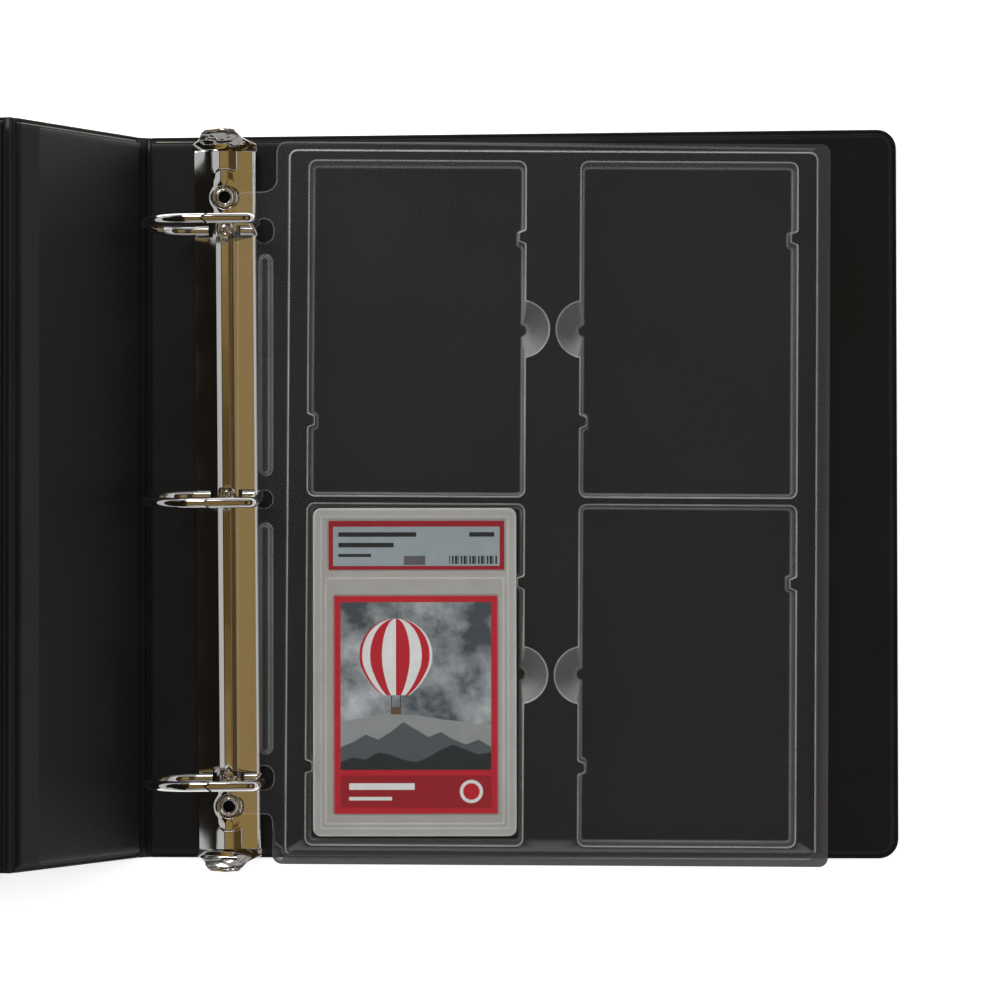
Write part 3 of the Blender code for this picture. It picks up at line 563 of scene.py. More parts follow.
# cover panels: two welded vinyl sheets round a board
panelSpec = dict(
    inner=((5.5, 1.42), (2.3, 1.42), (2.2, 1.2), (2.2, -1.0), (1.9, -1.38), (0.15, -1.38), (0.0, -1.2), (0.0, -0.66),
           (0.12, -0.52), (0.5, -0.46), (0.85, -0.5), (1.0, -0.62), (1.3, -0.64), (1.5, -0.55), (1.75, -0.2),
           (2.05, 0.5), (2.4, 1.15), (2.9, 1.62), (3.6, 1.88), (4.5, 1.97), (5.5, 2.0)),
    outer=((4.5, -1.44), (0.15, -1.44), (0.0, -1.52), (0.0, -1.82), (0.1, -1.94), (0.3, -1.99), (0.8, -2.0),
           (0.95, -1.9), (1.3, -1.9), (1.45, -2.0), (4.5, -2.0)),
    hingeShare=0.32, hingeCorner=1.0, corner=7.8, trim=0.8, flare=(2.9, 0.9), flareFrom=0.55)


def panelMatrix(name, hinge):
    largest = max(nodes[name + "_board"].data.polygons, key=lambda polygon: polygon.area)
    normal = Vector((largest.normal.x, 0, largest.normal.z)).normalized()
    normal = normal if normal.z > 0 else -normal
    along = Vector((0, 1, 0)).cross(normal)
    matrix = Matrix((along, Vector((0, 1, 0)), normal)).transposed().to_4x4()
    matrix.translation = hinge
    return matrix


def localBox(node, matrix):
    inverse = matrix.inverted()
    points = [inverse @ (vert.co * 1000) for vert in nodes[node].data.vertices]
    return ([min(p[k] for p in points) for k in range(3)], [max(p[k] for p in points) for k in range(3)])


panelFrames = dict(back=panelMatrix("back", jointPoint("spine_hinge")),
                   spine=panelMatrix("spine", jointPoint("spine_hinge")),
                   front=panelMatrix("front", jointPoint("cover_hinge")))


def panelLoops(name, profile):
    matrix = panelFrames[name]
    low, high = localBox(name + "_outer_vinyl", matrix)
    share = panelSpec["hingeShare"]
    leftShare = 1.0 if name == "front" else share
    rightShare = 1.0 if name == "back" else share
    leftCorner = panelSpec["corner"] if name == "front" else panelSpec["hingeCorner"]
    rightCorner = panelSpec["corner"] if name == "back" else panelSpec["hingeCorner"]
    loops = []
    for inset, z in profile:
        radii = [max(r - inset, 0.3) for r in (leftCorner, rightCorner, rightCorner, leftCorner)]
        loop = roundedLoop((low[0] + inset * leftShare, low[1] + inset),
                           (high[0] - inset * rightShare, high[1] - inset), radii, 8)
        grown = []
        for x, y in loop:  # the top edge sits a little low; the back cover's free end is taller
            rise = -panelSpec["trim"] if y > 0 else 0.0
            if name == "back":
                start = panelSpec["flareFrom"]
                rise += panelSpec["flare"][y < 0] * max(0.0, x / high[0] - start) / (1 - start)
            grown.append((x, y * (1 + rise / high[1]), z))
        loops.append([matrix @ Vector(point) for point in grown])
    return loops


def buildPanels():
    for name, body in (("back", "back_cover"), ("spine", "spine"), ("front", "front_cover")):
        for side in ("inner", "outer"):
            verts, faces = loft(panelLoops(name, panelSpec[side]))
            sheet = weightNormals(meshObject(f"{name}_{side}_sheet", verts, faces, vinylBlack))
            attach(sheet, body)
            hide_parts(f"{name}_{side}_vinyl")


hingeSpec = dict(  # across the hinge, share of its half width and height over the mid plane
    top=((-1.0, -0.55), (-0.86, -0.62), (-0.74, -0.9), (-0.6, -0.95), (-0.5, -0.85), (-0.42, -0.5), (-0.32, -0.38),
         (0.0, -0.34), (0.32, -0.38), (0.42, -0.5), (0.5, -0.85), (0.6, -0.95), (0.74, -0.9), (0.86, -0.62),
         (1.0, -0.55)),
    under=-1.95, underShares=(1.0, 0.6, 0.2, -0.2, -0.6, -1.0), endEase=0.25, overlap=0.25, rows=48)


def hingeStrip(name, hinge, first, second, node):
    # the bare vinyl follows an arc that is tangent to both panels
    reach = localBox("back_outer_vinyl", panelFrames["back"])[0][0]
    a, b = panelFrames[first], panelFrames[second]
    along = a.to_3x3() @ Vector((1, 0, 0))
    other = b.to_3x3() @ Vector((1, 0, 0))
    bend = along.angle(other)
    half = reach + hingeSpec["overlap"]
    radius = half / math.tan(bend / 2)
    inside = 1 if (along - other).dot(a.to_3x3() @ Vector((0, 0, 1))) > 0 else -1
    up = a.to_3x3() @ Vector((0, 0, 1))
    start = Vector(hinge) + along * half
    centre = start + up * radius * inside
    panelLow, panelHigh = localBox(first + "_outer_vinyl", a)
    low, high = panelLow[1], panelHigh[1] - panelSpec["trim"]

    def point(share, height, y):
        turn = bend * (1 - share) / 2
        away = (-up * inside) * math.cos(turn) - along * math.sin(turn)
        return centre + away * (radius - inside * height) + Vector((0, y, 0))

    rings = []
    for row in range(hingeSpec["rows"] + 1):
        y = low + (high - low) * row / hingeSpec["rows"]
        ease = hingeSpec["endEase"] if row in (0, hingeSpec["rows"]) else 0.0
        ring = [point(u, z - ease, y) for u, z in hingeSpec["top"]]
        ring += [point(u, hingeSpec["under"] + ease, y) for u in hingeSpec["underShares"]]
        rings.append(ring)
    verts, faces = loft(rings)
    strip = meshObject(name, verts, faces, vinylWeld)
    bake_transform(strip)
    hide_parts(node)


buildPanels()
hingeStrip("spine_hinge_vinyl", jointPoint("spine_hinge"), "back", "spine",
           "spine_hinge_strip")
hingeStrip("cover_hinge_vinyl", jointPoint("cover_hinge"), "spine", "front",
           "cover_hinge_strip")
print("scene: covers built")


# ring mechanism, in its own frame: middle of the housing at the origin, z as in the world
housingLow, housingHigh = mmBox("ring_housing")
mechanismYaw = math.radians(0.42)
mechanismFrame = Matrix.Translation(((housingLow.x + housingHigh.x) / 2, (housingLow.y + housingHigh.y) / 2, 0)) @ \
    Matrix.Rotation(mechanismYaw, 4, "Z")
ringShift = dict(top=0.3, middle=3.2, bottom=-0.9)
housingShift, rivetShift = 1.6, 0.85


def mechanismY(node):
    low, high = mmBox(node)
    return (low.y + high.y - housingLow.y - housingHigh.y) / 2


ringYs = {name: mechanismY("left_ring_" + name) + ringShift[name] for name in ("top", "middle", "bottom")}
rivetYs = {name: mechanismY(name + "_rivet") + rivetShift for name in ("top", "bottom")}
housingSpec = dict(
    halfLength=(housingHigh.y - housingLow.y) / 2, crown=11.05, slope=0.205, curve=0.0055, flatFrom=8.0,
    shoulders=(12.05, 11.0), leftLip=((12.3, 7.35), (12.42, 6.8), (12.45, 6.0), (12.45, housingLow.z)),
    rightLip=((11.6, 7.62), (12.2, 7.1), (12.36, 6.8), (12.4, 6.0), (12.4, housingLow.z)), sheet=0.9,
    ridgeTop=11.22, ridgeHalf=1.4, bevel=math.tan(math.radians(24.5)), bevelWidth=2.1, foot=2.2, ridgeRise=0.47,
    bossRadius=4.95, bossWidth=1.15, bossRise=0.22, bossBlend=3.0, bossFrom=6.8, bossFade=2.8,
    tongueHalf=1.8, tongueBevel=3.0, tongueLength=6.7, tongueRise=0.42, tongueEnd=1.3,
    seat=10.1, dishRadius=4.5, dishEdge=0.5, dishFade=0.7, dishRim=0.3, rimOut=0.1, rimWidth=0.32,
    pipRadius=2.5, pipDot=1.25, pipHeight=0.55, pipFlat=11.0, pipEdge=0.9, pipFade=0.8, pipRim=0.3, pipEnd=3.9,
    pipShift=(1.0, 0.7, -1.2), slotIn=4.7, slotOut=10.6, slotHalf=2.35, boreRadius=3.15,
    columns=(7.2, 7.8, 8.4, 9.0, 9.6, 10.2, 11.4), columnGap=0.2, columnCount=34, rows=46, nearEdge=0.16,
    endRows=(9.3, 0.3), rivetRows=(8.2, 0.2), tongueRows=(0.15, 1.2, 0.15), pipRows=(3.6, 0.3))


def smoothMax(first, second, blend):
    mix = max(blend - abs(first - second), 0.0) / blend
    return max(first, second) + mix * mix * blend / 4


def ramp(distance, width):
    return housingSpec["bevel"] * min(distance, width) + housingSpec["foot"] * max(0.0, distance - width)


def housingHeight(x, y):
    spec = housingSpec
    bend = min(abs(x), spec["flatFrom"])
    z = spec["crown"] - spec["slope"] * abs(x) - spec["curve"] * bend * (2 * abs(x) - bend)
    outside, width, rise = abs(x) - spec["ridgeHalf"], spec["bevelWidth"], spec["ridgeRise"]
    for place in rivetYs.values():  # the ridge swells round each rivet
        near = easeStep((spec["bossFrom"] - abs(y - place)) / spec["bossFade"])
        width += (spec["bossWidth"] - spec["bevelWidth"]) * near
        rise += (spec["bossRise"] - spec["ridgeRise"]) * near
        outside = -smoothMax(-outside, spec["bossRadius"] - math.hypot(x, y - place), spec["bossBlend"])
    z = max(z, min(spec["ridgeTop"], z + rise * min(1.0, max(0.0, 1 - outside / width))))
    inward = spec["halfLength"] - spec["tongueLength"] - abs(y - housingShift)
    away = math.hypot(max(0.0, abs(x) - spec["tongueHalf"]), max(0.0, inward) * spec["tongueEnd"])
    z = max(z, spec["ridgeTop"] + spec["tongueRise"] - ramp(away, spec["tongueBevel"]))
    for place in rivetYs.values():
        radius = math.hypot(x, y - place)
        if radius < spec["rivetRows"][0]:
            z += (spec["seat"] - z) * easeStep((spec["dishRadius"] + spec["dishEdge"] - radius) / spec["dishFade"])
            z += spec["dishRim"] * math.exp(-((radius - spec["dishRadius"] - spec["rimOut"]) / spec["rimWidth"]) ** 2)
    for place, shift in zip(ringYs.values(), spec["pipShift"]):
        radius = math.hypot(x, y - place - shift)
        if radius < spec["pipEnd"]:  # a stamped mark between the ring halves
            z += (spec["pipFlat"] - z) * easeStep((spec["pipRadius"] + spec["pipEdge"] - radius) / spec["pipFade"])
            dome = math.sqrt(max(0.0, 1 - (radius / spec["pipDot"]) ** 2))
            rim = math.exp(-((radius - spec["pipRadius"]) / spec["rimWidth"]) ** 2)
            z += spec["pipHeight"] * dome + spec["pipRim"] * rim
    return z


def housingLines():
    spec = housingSpec
    left, right = spec["shoulders"]
    xs = {round(k * spec["columnGap"], 3) for k in range(spec["columnCount"])}
    xs |= {*spec["columns"], spec["slotIn"], spec["slotOut"]}
    xs = sorted({-x for x in xs if x < left} | {x for x in xs if x < right} | {-left, right})
    low, high = housingShift - spec["halfLength"], housingShift + spec["halfLength"]
    ys = {round(low + (high - low) * k / spec["rows"], 3) for k in range(spec["rows"] + 1)}
    reach, gap = spec["endRows"]
    fine = [(high - reach, high, gap), (low, low + reach, gap)]  # closer rows where the plate has detail
    reach, gap = spec["rivetRows"]
    fine += [(place - reach, place + reach, gap) for place in rivetYs.values()]
    before, after, gap = spec["tongueRows"]
    ends = (low + spec["tongueLength"], high - spec["tongueLength"])
    fine += [(ends[0] - before, ends[0] + after, gap), (ends[1] - after, ends[1] + before, gap)]
    reach, gap = spec["pipRows"]
    fine += [(place + shift - reach, place + shift + reach, gap)
             for place, shift in zip(ringYs.values(), spec["pipShift"])]
    for start, end, gap in fine:
        count = round((end - start) / gap)
        ys = {y for y in ys if not start < y < end} | {start + (end - start) * k / count for k in range(count + 1)}
    for place in ringYs.values():
        for edge in (place - spec["slotHalf"], place + spec["slotHalf"]):
            ys = {y for y in ys if abs(y - edge) > spec["nearEdge"]} | {edge}
    return xs, sorted(ys)


def buildHousing():
    spec = housingSpec
    xs, ys = housingLines()
    left, right = spec["leftLip"], spec["rightLip"]
    columns = [(-x, z) for x, z in reversed(left)] + [(x, None) for x in xs] + list(right)
    verts, faces = [], []
    for y in ys:
        for x, z in columns:
            verts.append(mechanismFrame @ Vector((x, y, housingHeight(x, y) if z is None else z)))
    wide = len(columns)
    for row in range(len(ys) - 1):
        middleY = (ys[row] + ys[row + 1]) / 2
        for column in range(wide - 1):
            middleX = abs(columns[column][0] + columns[column + 1][0]) / 2
            inSlot = any(abs(middleY - place) < spec["slotHalf"] for place in ringYs.values())
            if inSlot and spec["slotIn"] < middleX < spec["slotOut"]:
                continue
            corner = row * wide + column
            if any(math.hypot(middleX, middleY - place) < spec["boreRadius"] for place in rivetYs.values()):
                continue
            faces.append((corner, corner + 1, corner + wide + 1, corner + wide))
    housing = thicken(meshObject("housing_plate", verts, faces, nickel), spec["sheet"])
    creases = (len(left), wide - 1 - len(right))
    seen, inner = set(), set()
    for polygon in housing.data.polygons:
        for key in polygon.edge_keys:
            (inner if key in seen else seen).add(key)
    for edge in housing.data.edges:  # lips and cut edges stay crisp
        first, second = [index % wide for index in edge.vertices]
        edge.use_edge_sharp = edge.key not in inner or (first == second and first in creases)
    if housing.data.polygons[0].normal.x > 0:
        housing.data.flip_normals()
    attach(housing, "back_cover")
    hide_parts("ring_housing")


eyeletSpec = dict(profile=((2.35, 4.15), (2.35, 10.78), (2.4, 10.98), (2.5, 11.1), (2.76, 11.26), (2.9, 11.29),
                           (3.04, 11.22), (3.46, 10.96), (3.58, 10.78), (3.5, 10.5), (3.3, 10.38), (3.0, 10.34),
                           (3.0, 4.15)), sides=48)


def buildEyelets():
    for name, place in rivetYs.items():
        rings = []
        for radius, z in eyeletSpec["profile"]:
            loop = circleLoop((0, place), radius, eyeletSpec["sides"])
            rings.append([mechanismFrame @ Vector(point) for point in atLevel(loop, z)])
        verts, faces = loft(rings + [rings[0]], False, False)
        eyelet = meshObject(name + "_eyelet", verts, faces, nickel)
        outward(eyelet.data, 1e-6)
        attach(eyelet, "back_cover")
        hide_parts(name + "_rivet")


ringSpec = dict(wire=2.03, base=10.0, top=52.0, left=-28.6, post=14.0, joint=-4.6, notch=2.4, gap=1.0, end=6.3,
                foot=8.2, footZ=5.8, footWire=1.4, tight=3.0, roundTop=18.0, roundBase=16.0, sides=24, crease=40.0,
                lean=dict(top=0.9, middle=-4.8, bottom=0.0))


def bentPath(points, radii, steps=10):
    # a polyline in x and z whose corners are rounded
    path = [Vector(points[0])]
    for before, corner, after, radius in zip(points, points[1:], points[2:], radii):
        corner = Vector(corner)
        first, second = (Vector(before) - corner).normalized(), (Vector(after) - corner).normalized()
        half = first.angle(second) / 2
        reach = radius / math.tan(half)
        centre = corner + (first + second).normalized() * radius / math.sin(half)
        start, end = corner + first * reach - centre, corner + second * reach - centre
        sweep = start.angle_signed(end)
        for step in range(steps + 1):
            turn = -sweep * step / steps
            path.append(centre + Matrix.Rotation(turn, 2) @ start)
    path.append(Vector(points[-1]))
    return path


def tube(path, radius, sides, vEnd=None):
    rings = []
    for index, point in enumerate(path):
        ahead = path[min(index + 1, len(path) - 1)] - path[max(index - 1, 0)]
        normal = Vector((-ahead.y, ahead.x)).normalized()
        ring = []
        for k in range(sides):
            turn = 2 * math.pi * k / sides
            across, up = math.sin(turn) * radius, math.cos(turn) * radius
            place = point + normal * up
            ring.append(Vector((place.x, across, place.y)))
        rings.append(ring)
    if vEnd is not None:
        for vert in rings[-1]:
            vert.x += vEnd * abs(vert.y) / radius
    verts, faces = loft(rings, True, vEnd is None)
    if vEnd is not None:
        start = len(verts) - sides
        spine = {}
        for k in range(sides // 2 + 1):
            spine[k] = len(verts)
            verts.append(Vector((path[-1].x, 0.0, rings[-1][k].z)))
        for k in range(sides // 2):
            faces.append((start + k, start + k + 1, spine[k + 1], spine[k]))
            faces.append((start + (sides - k) % sides, spine[k], spine[k + 1], start + (sides - k - 1) % sides))
    return verts, faces


def buildRings():
    spec = ringSpec
    for name, place in ringYs.items():
        lean = math.tan(math.radians(spec["lean"][name]))
        joint = spec["joint"] - spec["notch"] / 2
        rightPath = bentPath([(spec["end"], spec["base"]), (spec["post"], spec["base"]), (spec["post"], spec["top"]),
                              (joint + spec["gap"], spec["top"])], (spec["tight"], spec["tight"]))
        leftPath = bentPath([(-spec["end"], spec["base"]), (spec["left"], spec["base"]), (spec["left"], spec["top"]),
                             (joint, spec["top"])], (spec["roundBase"], spec["roundTop"]), 16)
        for side, path, foot in (("right", rightPath, spec["foot"]), ("left", leftPath, -spec["foot"])):
            verts, faces = tube(path, spec["wire"], spec["sides"], spec["notch"])
            stem = loft([[(foot + x, y, z) for x, y in circleLoop((0, 0), spec["footWire"], 16)]
                         for z in (spec["footZ"], spec["footZ"] + 0.4, spec["base"] - 0.5, spec["base"])])
            faces += [tuple(i + len(verts) for i in face) for face in stem[1]]
            verts += [Vector(point) for point in stem[0]]
            leaned = [(v.x, place + v.y + lean * max(0.0, v.z - spec["base"]), v.z) for v in verts]
            verts = [mechanismFrame @ Vector(point) for point in leaned]
            ring = meshObject(f"{side}_wire_{name}", verts, faces, nickel)
            outward(ring.data, 2e-6)
            ring.data.set_sharp_from_angle(angle=math.radians(spec["crease"]))
            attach(ring, side + "_rings")
            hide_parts(f"{side}_ring_{name}")


leverSpec = dict(reach=6.9, rise=9.4, start=0.5, base=6.6, cup=2.4, sheet=1.1, steps=30, across=36, turns=(46.0, 92.0),
                 crumple=((0.26, 15.0, 1.4, 0.0), (0.1, 29.0, -5.2, 1.0)), calm=(0.8, 9.0), flatten=1.35, softEdge=0.35,
                 neckHalf=(5.0, 0.6), neckCorner=0.4, neckZ=6.4, neckIn=9.0, neckSteps=(0.3, 1.0, 1.2),
                 left=((0.0, 12.6), (0.2, 12.6), (0.3, 11.0), (0.42, 9.7), (0.6, 9.2), (0.8, 8.4), (1.0, 6.9)),
                 right=((0.0, 12.6), (0.2, 12.5), (0.3, 10.0), (0.42, 7.6), (0.6, 6.3), (0.8, 5.4), (1.0, 4.5)))


def tableValue(table, share):
    # smooth curve through the table's points
    for index, ((first, low), (second, high)) in enumerate(zip(table, table[1:])):
        if share <= second:
            before, after = table[max(index - 1, 0)][1], table[min(index + 2, len(table) - 1)][1]
            t = (share - first) / (second - first)
            return low + 0.5 * t * (high - before + t * (2 * before - 5 * low + 4 * high - after
                                                        + t * (3 * (low - high) + after - before)))
    return table[-1][1]


def buildLevers():
    spec = leverSpec
    for name, side, body in (("top", 1, "upper_lever"), ("bottom", -1, "lower_lever")):
        verts, faces = [], []
        for n in range(spec["steps"] + 1):
            share = n / spec["steps"]
            first, last = [math.radians(turn) for turn in spec["turns"]]
            turn = first + (last - first) * share
            y = housingSpec["halfLength"] + side * housingShift + spec["start"]
            y += spec["reach"] * (math.sin(turn) - math.sin(first)) / (1 - math.sin(first))
            z = spec["base"] + spec["rise"] * (math.cos(first) - math.cos(turn)) / math.cos(first)
            for k in range(spec["across"] + 1):
                u = 2 * k / spec["across"] - 1
                half = tableValue(spec["left" if u < 0 else "right"], share)
                cup = spec["cup"] * (1 - u * u) * (1 - spec["flatten"] * share)
                crumple = sum(size * math.sin(along * share + aside * u + start)
                              for size, along, aside, start in spec["crumple"])
                cup += crumple * math.exp(-(u / spec["calm"][0]) ** 4) * easeStep(share * spec["calm"][1])
                verts.append((half * u, y - math.sin(turn) * cup, z + math.cos(turn) * cup))
        wide = spec["across"] + 1
        for n in range(spec["steps"]):
            for k in range(spec["across"]):
                corner = n * wide + k
                faces.append((corner, corner + 1, corner + wide + 1, corner + wide))
        verts = [mechanismFrame @ Vector((x, side * y, z)) for x, y, z in verts]
        lever = thicken(meshObject(name + "_thumb_tab", verts, faces, nickel), spec["sheet"], 0.0)
        softened = lever.modifiers.new("edges", "BEVEL")
        softened.width, softened.segments, softened.limit_method = spec["softEdge"] * 0.001, 3, "ANGLE"
        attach(lever, body)
        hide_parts(name + "_lever")
        end = housingSpec["halfLength"] + side * housingShift
        halfX, halfZ = spec["neckHalf"]
        section = roundedLoop((-halfX, -halfZ), (halfX, halfZ), [spec["neckCorner"]] * 4, 3)
        start, (first, before, past) = end - spec["neckIn"], spec["neckSteps"]
        rings = [[mechanismFrame @ Vector((x, side * y, z + spec["neckZ"])) for x, z in section]
                 for y in (start, start + first, end - before, end + past)]
        verts, faces = loft(rings)
        neck = meshObject(name + "_lever_neck", verts, faces, nickel)
        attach(neck, body)


buildHousing()
buildEyelets()
buildRings()
buildLevers()
print("scene: mechanism built")


# clear page with four formed pockets
pageLow, pageHigh = mmBox("slab_page")
pageSpec = dict(
    sheet=0.5, flange=14.0, deck=15.6, body=14.6, bodyCorners=(4.0, 3.5, 3.5, 4.0), strip=(18.7, 19.3),
    stripCorner=3.0, notch=4.0, grow=(0.5, 0.8, 1.0), deckFrom=(19.0, 2.1, 3.5, 1.6), deckCorner=4.0,
    turn=-0.4, turnFrom=10.0, turnOver=5.0, columns=(162.7, 55.1), rows=((73.4, 132.2), (210.2, 134.2)), width=85.2,
    # the last scoop numbers on the next line set the painted highlight inside the scoops
    pocketCorner=2.6, scoop=11.0, scoopFloor=2.8, scoopIn=1.5, scoopSteps=22, scoopHighlight=(0.09, 0.2, 0.42),
    bumpDepth=2.5, bumpHalf=2.5, bumpY=36.5, bumpFoot=1.9, bumpLean=(0.4, 0.6), bumpGrow=0.6,
    bumpCorners=(0.9, 0.8, 0.8, 0.9), cornerSteps=6,
    # holes and ribs: the last numbers of each give a painted highlight and a painted shade
    holeX=10.5, hole=(7.6, 9.6), middleHole=(7.0, 7.2), holeHighlight=(0.5, 1.0), middleUp=1.6, bottomDown=0.5,
    ribX=11.1, ribWidth=6.3, ribGap=9.0, ribShade=0.35,
    # band of painted shadow along the bottom and right edges
    shadowBand=4.9, shadowSide=2.0, hemMask=(1.0, 0.6, 0.4), shadowEnd=(1.2, 0.8, 9.0), shadowFade=(140.6, 0.16, 4.0, 16),
    edge=((0.0, 0.3), (0.2, 0.12), (0.45, 0.0)),  # inset and painted highlight mask; below, inset, height and painted highlight mask
    step=((0.0, 0.0, 0.0), (0.25, 0.03, 0.05), (0.42, 0.2, 0.2), (0.56, 0.7, 0.05), (0.68, 1.2, 0.2),
          (0.82, 1.48, 0.72), (1.05, 1.57, 0.62), (1.3, 1.6, 0.0)),
    rib=((0.0, 0.0, 0.0), (0.25, 0.06, 0.26), (0.5, 0.35, 0.12), (1.0, 1.2, 0.06), (1.4, 1.7, 0.2),
         (1.75, 1.93, 0.18), (2.2, 2.0, 0.02)),
    wall=((-0.75, 0.0, 0.0), (-0.55, -0.01, 0.15), (-0.35, -0.09, 0.58), (-0.1, -0.28, 0.64), (0.0, -0.6, 0.2),
          (0.06, -1.2, 0.03), (0.4, -5.4, 0.02), (0.75, -9.7, 0.03), (0.88, -10.2, 0.16), (1.1, -10.52, 0.22),
          (1.4, -10.67, 0.05), (1.8, -10.7, 0.0)), wallFoot=0.88)


def filletedLoop(points, radii, steps=6):
    loop = []
    count = len(points)
    for i in range(count):
        path = bentPath([points[i - 1], points[i], points[(i + 1) % count]], [max(radii[i], 0.02)], steps)
        loop += [(p.x, p.y) for p in path[1:-1]]
    return loop


def insetCorners(points, radii, inset):
    # moves a counterclockwise outline inwards; hollow corners open as the others close
    moved, rounded = [], []
    for i, point in enumerate(points):
        ahead = (Vector(points[(i + 1) % len(points)]) - Vector(point)).normalized()
        behind = (Vector(point) - Vector(points[i - 1])).normalized()
        normals = Vector((-ahead.y - behind.y, ahead.x + behind.x)) / (1 + ahead.dot(behind))
        moved.append(Vector(point) + normals * inset)
        turn = behind.x * ahead.y - behind.y * ahead.x
        rounded.append(radii[i] - inset if turn > 0 else radii[i] + inset)
    return moved, rounded


def arcPoints(centre, radius, start, end, steps):
    turns = [math.radians(start + (end - start) * k / steps) for k in range(steps + 1)]
    return [(centre[0] + radius * math.cos(t), centre[1] + radius * math.sin(t)) for t in turns]


def bumpPath(halfX, y, inset):
    # square-shouldered bump that leans into the pocket from its right edge
    spec = pageSpec
    reach = spec["width"] / 2 - spec["bumpDepth"] - spec["bumpGrow"] * inset
    half = spec["bumpHalf"] + spec["bumpGrow"] * inset
    foot, (wide, narrow) = spec["bumpFoot"], spec["bumpLean"]
    corners = [(halfX, y - half - foot), (halfX, y - half - wide), (reach, y - half + narrow),
               (reach, y + half - narrow), (halfX, y + half + wide), (halfX, y + half + foot)]
    return [(p.x, p.y) for p in bentPath(corners, spec["bumpCorners"], 4)]


def pocketLoop(centre, height, side, inset, scoop):
    # counterclockwise from the lower right corner, scoop on the right edge for side 1
    spec = pageSpec
    edge, halfY = spec["width"] / 2, height / 2 - inset
    halfX = edge - inset
    radius = max(spec["pocketCorner"] - inset, 0.5)
    spread = math.degrees(math.acos((spec["scoopIn"] - inset) / scoop))
    scoopX = edge - spec["scoopIn"]
    cx, cy = halfX - radius, halfY - radius
    bump, steps, arcSteps = bumpPath(halfX, spec["bumpY"], inset), spec["cornerSteps"], spec["scoopSteps"]
    points = arcPoints((cx, -cy), radius, -90, 0, steps)
    if side > 0:
        points += arcPoints((scoopX, 0), scoop, -spread, spread, arcSteps)
    points += bump + arcPoints((cx, cy), radius, 0, 90, steps) + arcPoints((-cx, cy), radius, 90, 180, steps)
    if side < 0:
        points += arcPoints((-scoopX, 0), scoop, 180 - spread, 180 + spread, arcSteps)
    points += [(-x, -y) for x, y in bump] + arcPoints((-cx, -cy), radius, 180, 270, steps)
    return [(centre[0] + x, centre[1] + y) for x, y in points]


def settled(loop):
    # the page lies a little turned; the punched strip stays on the rings
    spec = pageSpec
    centre = (pageLow + pageHigh) / 2
    moved = []
    for x, y in loop:
        turn = math.radians(spec["turn"]) * easeStep((x - pageLow.x - spec["turnFrom"]) / spec["turnOver"])
        moved.append((x - turn * (y - centre.y), y + turn * (x - centre.x)))
    return moved


